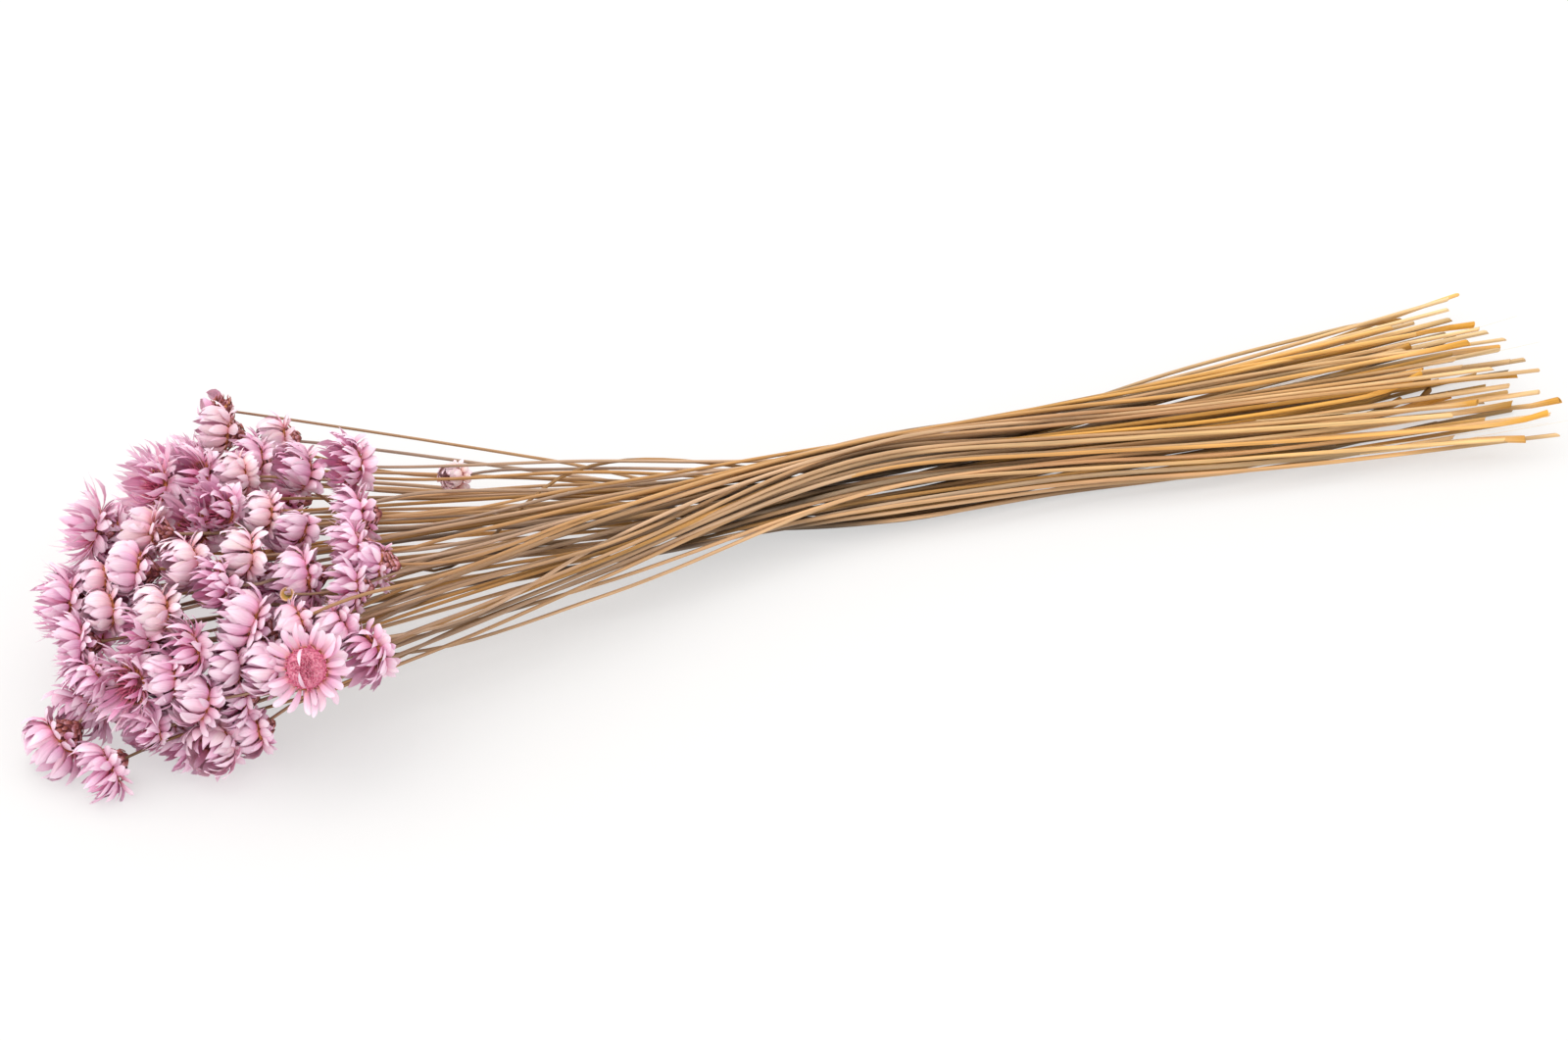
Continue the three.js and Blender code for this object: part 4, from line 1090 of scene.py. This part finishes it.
def grained_skin(name, grain_mm, stops, lights, *surface):
    """A dry skin whose colour goes along the piece and whose lightness goes with its grain."""
    material, tree = new_material(name)
    grain = grain_of(tree, grain_mm)
    colour = add(tree, "ValToRGB", {0: place_along(tree)[1]}, stops)
    return finish_material(material, lighten(tree, colour, grain, GRAIN_ENDS, lights), grain,
                           *surface)


def bract_material():
    """Papery everlasting bract, dyed pink: a satin skin with fine ribs along it, brown at its claw,
    deep pink low down, paler to the tip, pinker at its two edges as painted shade between bracts,
    and darkened by painted shade inside the heap."""
    material, tree = new_material("dyed_papery_bract")
    u, v = place_along(tree)
    cream, deep, chance, inside = tint_parts(tree)
    lilac = add(tree, "ValToRGB", {0: v}, (
        (0, "#b0623e"), (0.06, "#de8e9c"), (0.22, "#e8a0c8"), (0.55, "#f0c2dc"), (1, "#f8e2ee")))
    rose = add(tree, "ValToRGB", {0: v}, (
        (0, "#8a4030"), (0.08, "#ba4a72"), (0.4, "#d36a9c"), (0.75, "#e496c0"), (1, "#f2bfda")))
    ivory = add(tree, "ValToRGB", {0: v}, (
        (0, "#b06c40"), (0.06, "#e6ac9c"), (0.35, "#f3d0ca"), (0.75, "#f8e4e4"), (1, "#f4cfe0")))
    pink = add(tree, "Mix", {0: deep, 6: lilac, 7: rose}, data_type="RGBA")
    mixed = add(tree, "Mix", {0: cream, 6: pink, 7: ivory}, data_type="RGBA")
    # Ribs about 0.2 mm apart, drawn out along the bract.
    ribs = streaks_of(tree, (u, v, chance), (14.0, 1.6, 60.0), 2.0)
    lit = lighten(tree, mixed, ribs, GRAIN_ENDS, (0.88, 1.08))
    lit = lighten(tree, lit, chance, (0, 1), (0.86, 1.08))
    # Painted shade: inside the heap, under other heads, the bracts are darkened towards deep pink.
    inner = add(tree, "MapRange", {0: inside, 1: 0.3, 2: 0.95, 3: 0, 4: 1})
    shade_painted = add(tree, "Mix", {0: inner, 6: lit, 7: linear("#e2a4ba")},
               data_type="RGBA", blend_type="MULTIPLY")
    # Painted shade between neighbouring bracts: each bract is pinker towards its two edges.
    edge = add(tree, "Math", {0: u, 1: 0.5}, operation="SUBTRACT")
    edge = add(tree, "Math", {0: edge}, operation="ABSOLUTE")
    edge = add(tree, "MapRange", {0: edge, 1: 0.25, 2: 0.5, 3: 0, 4: 0.3})
    edge_shaded = add(tree, "Mix", {0: edge, 6: shade_painted, 7: linear("#e09cc2")}, data_type="RGBA")
    return finish_material(material, edge_shaded, ribs, 0.55, 0.06, 0.4, translucent=0.12)


def scale_material():
    """Chaffy scale: dry and dull, brown with a pink tip where the dye took."""
    material, tree = new_material("chaffy_scale")
    v, chance = place_along(tree)[1], tint_parts(tree)[2]
    brown = add(tree, "ValToRGB", {0: v}, (
        (0, "#5c2c20"), (0.35, "#94503f"), (0.7, "#b56f66"), (1, "#d99aa4")))
    pink = add(tree, "ValToRGB", {0: v}, (
        (0, "#6b3328"), (0.3, "#b0625f"), (0.65, "#cf8f9c"), (1, "#e9bccb")))
    mixed = add(tree, "Mix", {0: chance, 6: brown, 7: pink}, data_type="RGBA")
    # Chaff fibres.
    grain = grain_of(tree, 0.4)
    lit = lighten(tree, mixed, grain, GRAIN_ENDS, (0.75, 1.2))
    return finish_material(material, lit, grain, 0.75, 0.1, 0.5)


def straw_material():
    """Dried flower stem: a hollow straw with fine ridges along it, matt and fibrous, mauve-brown
    by the flowers, tan in the middle and golden to its cut end, with a pale rim. Painted shade
    darkens the stems that lie under others and the hollow of the cut end, and the outermost
    stems are painted lighter."""
    material, tree = new_material("dried_straw")
    u, v = place_along(tree)
    # The first part goes from grey at 0 to plain at 1, and on past 1 on a torn heel.
    plainness, chance, hollow_shade, inside = tint_parts(tree)
    plain = add(tree, "ValToRGB", {0: v}, (
        (0, "#9a765c"), (0.25, "#c2986c"), (0.5, "#c49769"), (0.7, "#b8875b"), (0.88, "#d2a066"),
        (1, "#dab280")))
    grey = add(tree, "ValToRGB", {0: v}, (
        (0, "#937a6c"), (0.3, "#bca088"), (0.6, "#b49a7c"), (0.85, "#c8aa7e"), (1, "#d4b98c")))
    gold = add(tree, "ValToRGB", {0: v}, (
        (0, "#9a6e44"), (0.3, "#b8884c"), (0.6, "#b98846"), (0.85, "#d09a48"), (1, "#dcaa5c")))
    colour = add(tree, "Mix", {0: plainness, 6: grey, 7: plain}, data_type="RGBA")
    to_gold = add(tree, "MapRange", {0: chance, 1: 0.55, 2: 0.9, 3: 0, 4: 1})
    colour = add(tree, "Mix", {0: to_gold, 6: colour, 7: gold}, data_type="RGBA")
    to_heel = add(tree, "MapRange", {0: plainness, 1: 1, 2: 2.2, 3: 0, 4: 0.9})
    colour = add(tree, "Mix", {0: to_heel, 6: colour, 7: linear("#cc9130")}, data_type="RGBA")
    # Streaks an eighth of the way round and about 20 mm long.
    streaks = streaks_of(tree, (u, v, chance), (8.0, 20.0, 90.0), 3.0)
    # Each straw has its own lightness. Painted shade darkens the stems that lie under others, and
    # the outermost ones are painted lighter.
    own = add(tree, "Math", {0: chance, 1: 13.0}, operation="MULTIPLY")
    own = add(tree, "Math", {0: own}, operation="FRACT")
    for value, ends, lights in ((streaks, (0.25, 0.75), (0.7, 1.3)), (own, (0, 1), (0.78, 1.16)),
                                (inside, (0.12, 0.85), (1.15, 0.2))):
        colour = lighten(tree, colour, value, ends, lights)
    # Painted shade in the hollow of the cut end: dark brown.
    colour = add(tree, "Mix", {0: hollow_shade, 6: colour, 7: linear("#6e4a26")}, data_type="RGBA")
    return finish_material(material, colour, streaks, 0.5, 0.15, 0.7)


# Receptacle: the dull brown-pink flesh under the scales and bracts, seen only in gaps.
RECEPTACLE = spotted_skin("dry_receptacle", 0.625, ((0.3, "#5a2a2c"), (0.6, "#8c4a50")),
                          0.8, 0.15, 0.5)
# Bract claws: the hard, narrow feet of the bracts, about 0.8 mm apart, burnt orange to brown.
CLAWS = spotted_skin("burnt_orange_claw", 0.8,
                     ((0.3, "#6a3420"), (0.5, "#a35c30"), (0.7, "#c98a58")), 0.6, 0.15, 0.6)
# Tubular florets, dyed deep pink: a fuzzy mat, darker at the foot.
FUZZ = grained_skin("dyed_floret", 0.5, ((0, "#a84468"), (0.45, "#cf6688"), (1, "#e598ac")),
                    (0.8, 1.2), 0.8, 0.1, 0.5, 0.2)
# Bared receptacle: dry dimpled skin, pale pinkish cream at its rim, green-brown in its hollow.
DISH_SKIN = grained_skin("bare_receptacle", 0.4, (
    (0, "#a8765a"), (0.35, "#dba98c"), (0.55, "#f0cdb8"), (0.7, "#cf9c52"), (1, "#7d7636")),
    (0.8, 1.15), 0.7, 0.1, 0.5)
HEAD_MATERIALS = [RECEPTACLE, CLAWS, scale_material(), bract_material(), FUZZ]
STRAND_MATERIALS = [straw_material(), DISH_SKIN]

BODY = next(iter(frame["bodies"]))
for node_name in sorted(frame["nodes"]):
    words = node_name.split("_")
    if words[0] == "bloom":
        members = [HEADS[int(word) - 1] for word in words[1:]]
        dressed = [part for head in members for part in dress_head(head)]
        piece = make_piece("papery_" + node_name, dressed, HEAD_MATERIALS)
    else:
        row = int(words[-1]) - 1
        own = [stem for stem in STEMS if stem["row"] == row]
        straws = [stem_parts(stem) for stem in own]
        straws += [part for stem in own for part in fibre_parts(stem)]
        straws += [dish_parts(stem) for stem in own if stem["head"] < 0]
        piece = make_piece("straw_" + words[-1], straws, STRAND_MATERIALS)
    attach(piece, BODY)
    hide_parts(node_name)


# The sheet's half side in metres, its grey, roughness and gloss, and the light of its own that
# keeps it near white.
FLOOR_HALF = 4.0
FLOOR_GREY, FLOOR_ROUGHNESS, FLOOR_GLOSS, FLOOR_GLOW = "#a09f9e", 0.9, 0.1, 0.52
# The white surround's strength, and the lamp's place and target, side in metres, watts, colour.
SURROUND = 1.26
LAMP_PLACE, LAMP_TARGET = (-0.5, 0.45, 1.3), (-0.1, 0, 0.02)
LAMP_SIDE, LAMP_POWER, LAMP_COLOUR = 1.2, 6.5, "#fffaf4"


def make_floor():
    """A flat sheet of white paper under the bunch, far larger than the view."""
    mesh = bpy.data.meshes.new("paper_floor")
    mesh.from_pydata([(x * FLOOR_HALF, y * FLOOR_HALF, 0)
                      for x, y in ((-1, -1), (1, -1), (1, 1), (-1, 1))], [], [(0, 1, 2, 3)])
    material, tree = new_material("white_paper")
    shader = add(tree, "BsdfPrincipled", {
        "Base Color": linear(FLOOR_GREY), "Roughness": FLOOR_ROUGHNESS,
        "Specular IOR Level": FLOOR_GLOSS, "Emission Color": linear("#ffffff"),
        "Emission Strength": FLOOR_GLOW})
    add(tree, "OutputMaterial", {"Surface": shader})
    mesh.materials.append(material)
    floor = bpy.data.objects.new("paper_floor", mesh)
    bpy.context.scene.collection.objects.link(floor)


def make_light():
    """Plain studio light: an even white surround and one large soft lamp behind on the left."""
    world = bpy.data.worlds.new("white_surround")
    world.use_nodes = True
    tree = world.node_tree
    tree.nodes.clear()
    surround = add(tree, "Background", {"Color": linear("#ffffff"), "Strength": SURROUND})
    add(tree, "OutputWorld", {"Surface": surround})
    bpy.context.scene.world = world
    lamp = bpy.data.lights.new("key_lamp", "AREA")
    lamp.shape = "SQUARE"
    lamp.size = LAMP_SIDE
    lamp.energy = LAMP_POWER
    lamp.color = linear(LAMP_COLOUR)[:3]
    holder = bpy.data.objects.new("key_lamp", lamp)
    holder.location = LAMP_PLACE
    way = Vector(LAMP_TARGET) - Vector(LAMP_PLACE)
    holder.rotation_euler = way.to_track_quat("-Z", "Y").to_euler()
    bpy.context.scene.collection.objects.link(holder)
    bpy.context.scene.view_settings.view_transform = "Standard"


def make_camera():
    """The camera at the eye that the heads were read from."""
    camera = bpy.data.cameras.new("camera")
    camera.sensor_width = SENSOR
    camera.sensor_fit = "HORIZONTAL"
    camera.lens = SENSOR * EYE_DISTANCE / FRAME_WIDTH_MM
    holder = bpy.data.objects.new("camera", camera)
    turn = np.eye(4)
    turn[:3, 0], turn[:3, 1], turn[:3, 2] = RIGHT, UPWARD, -FORWARD
    turn[:3, 3] = (EYE - BOX_MIDDLE) * MM
    holder.matrix_world = Matrix(turn.tolist())
    bpy.context.scene.collection.objects.link(holder)
    bpy.context.scene.camera = holder


make_floor()
make_light()
make_camera()
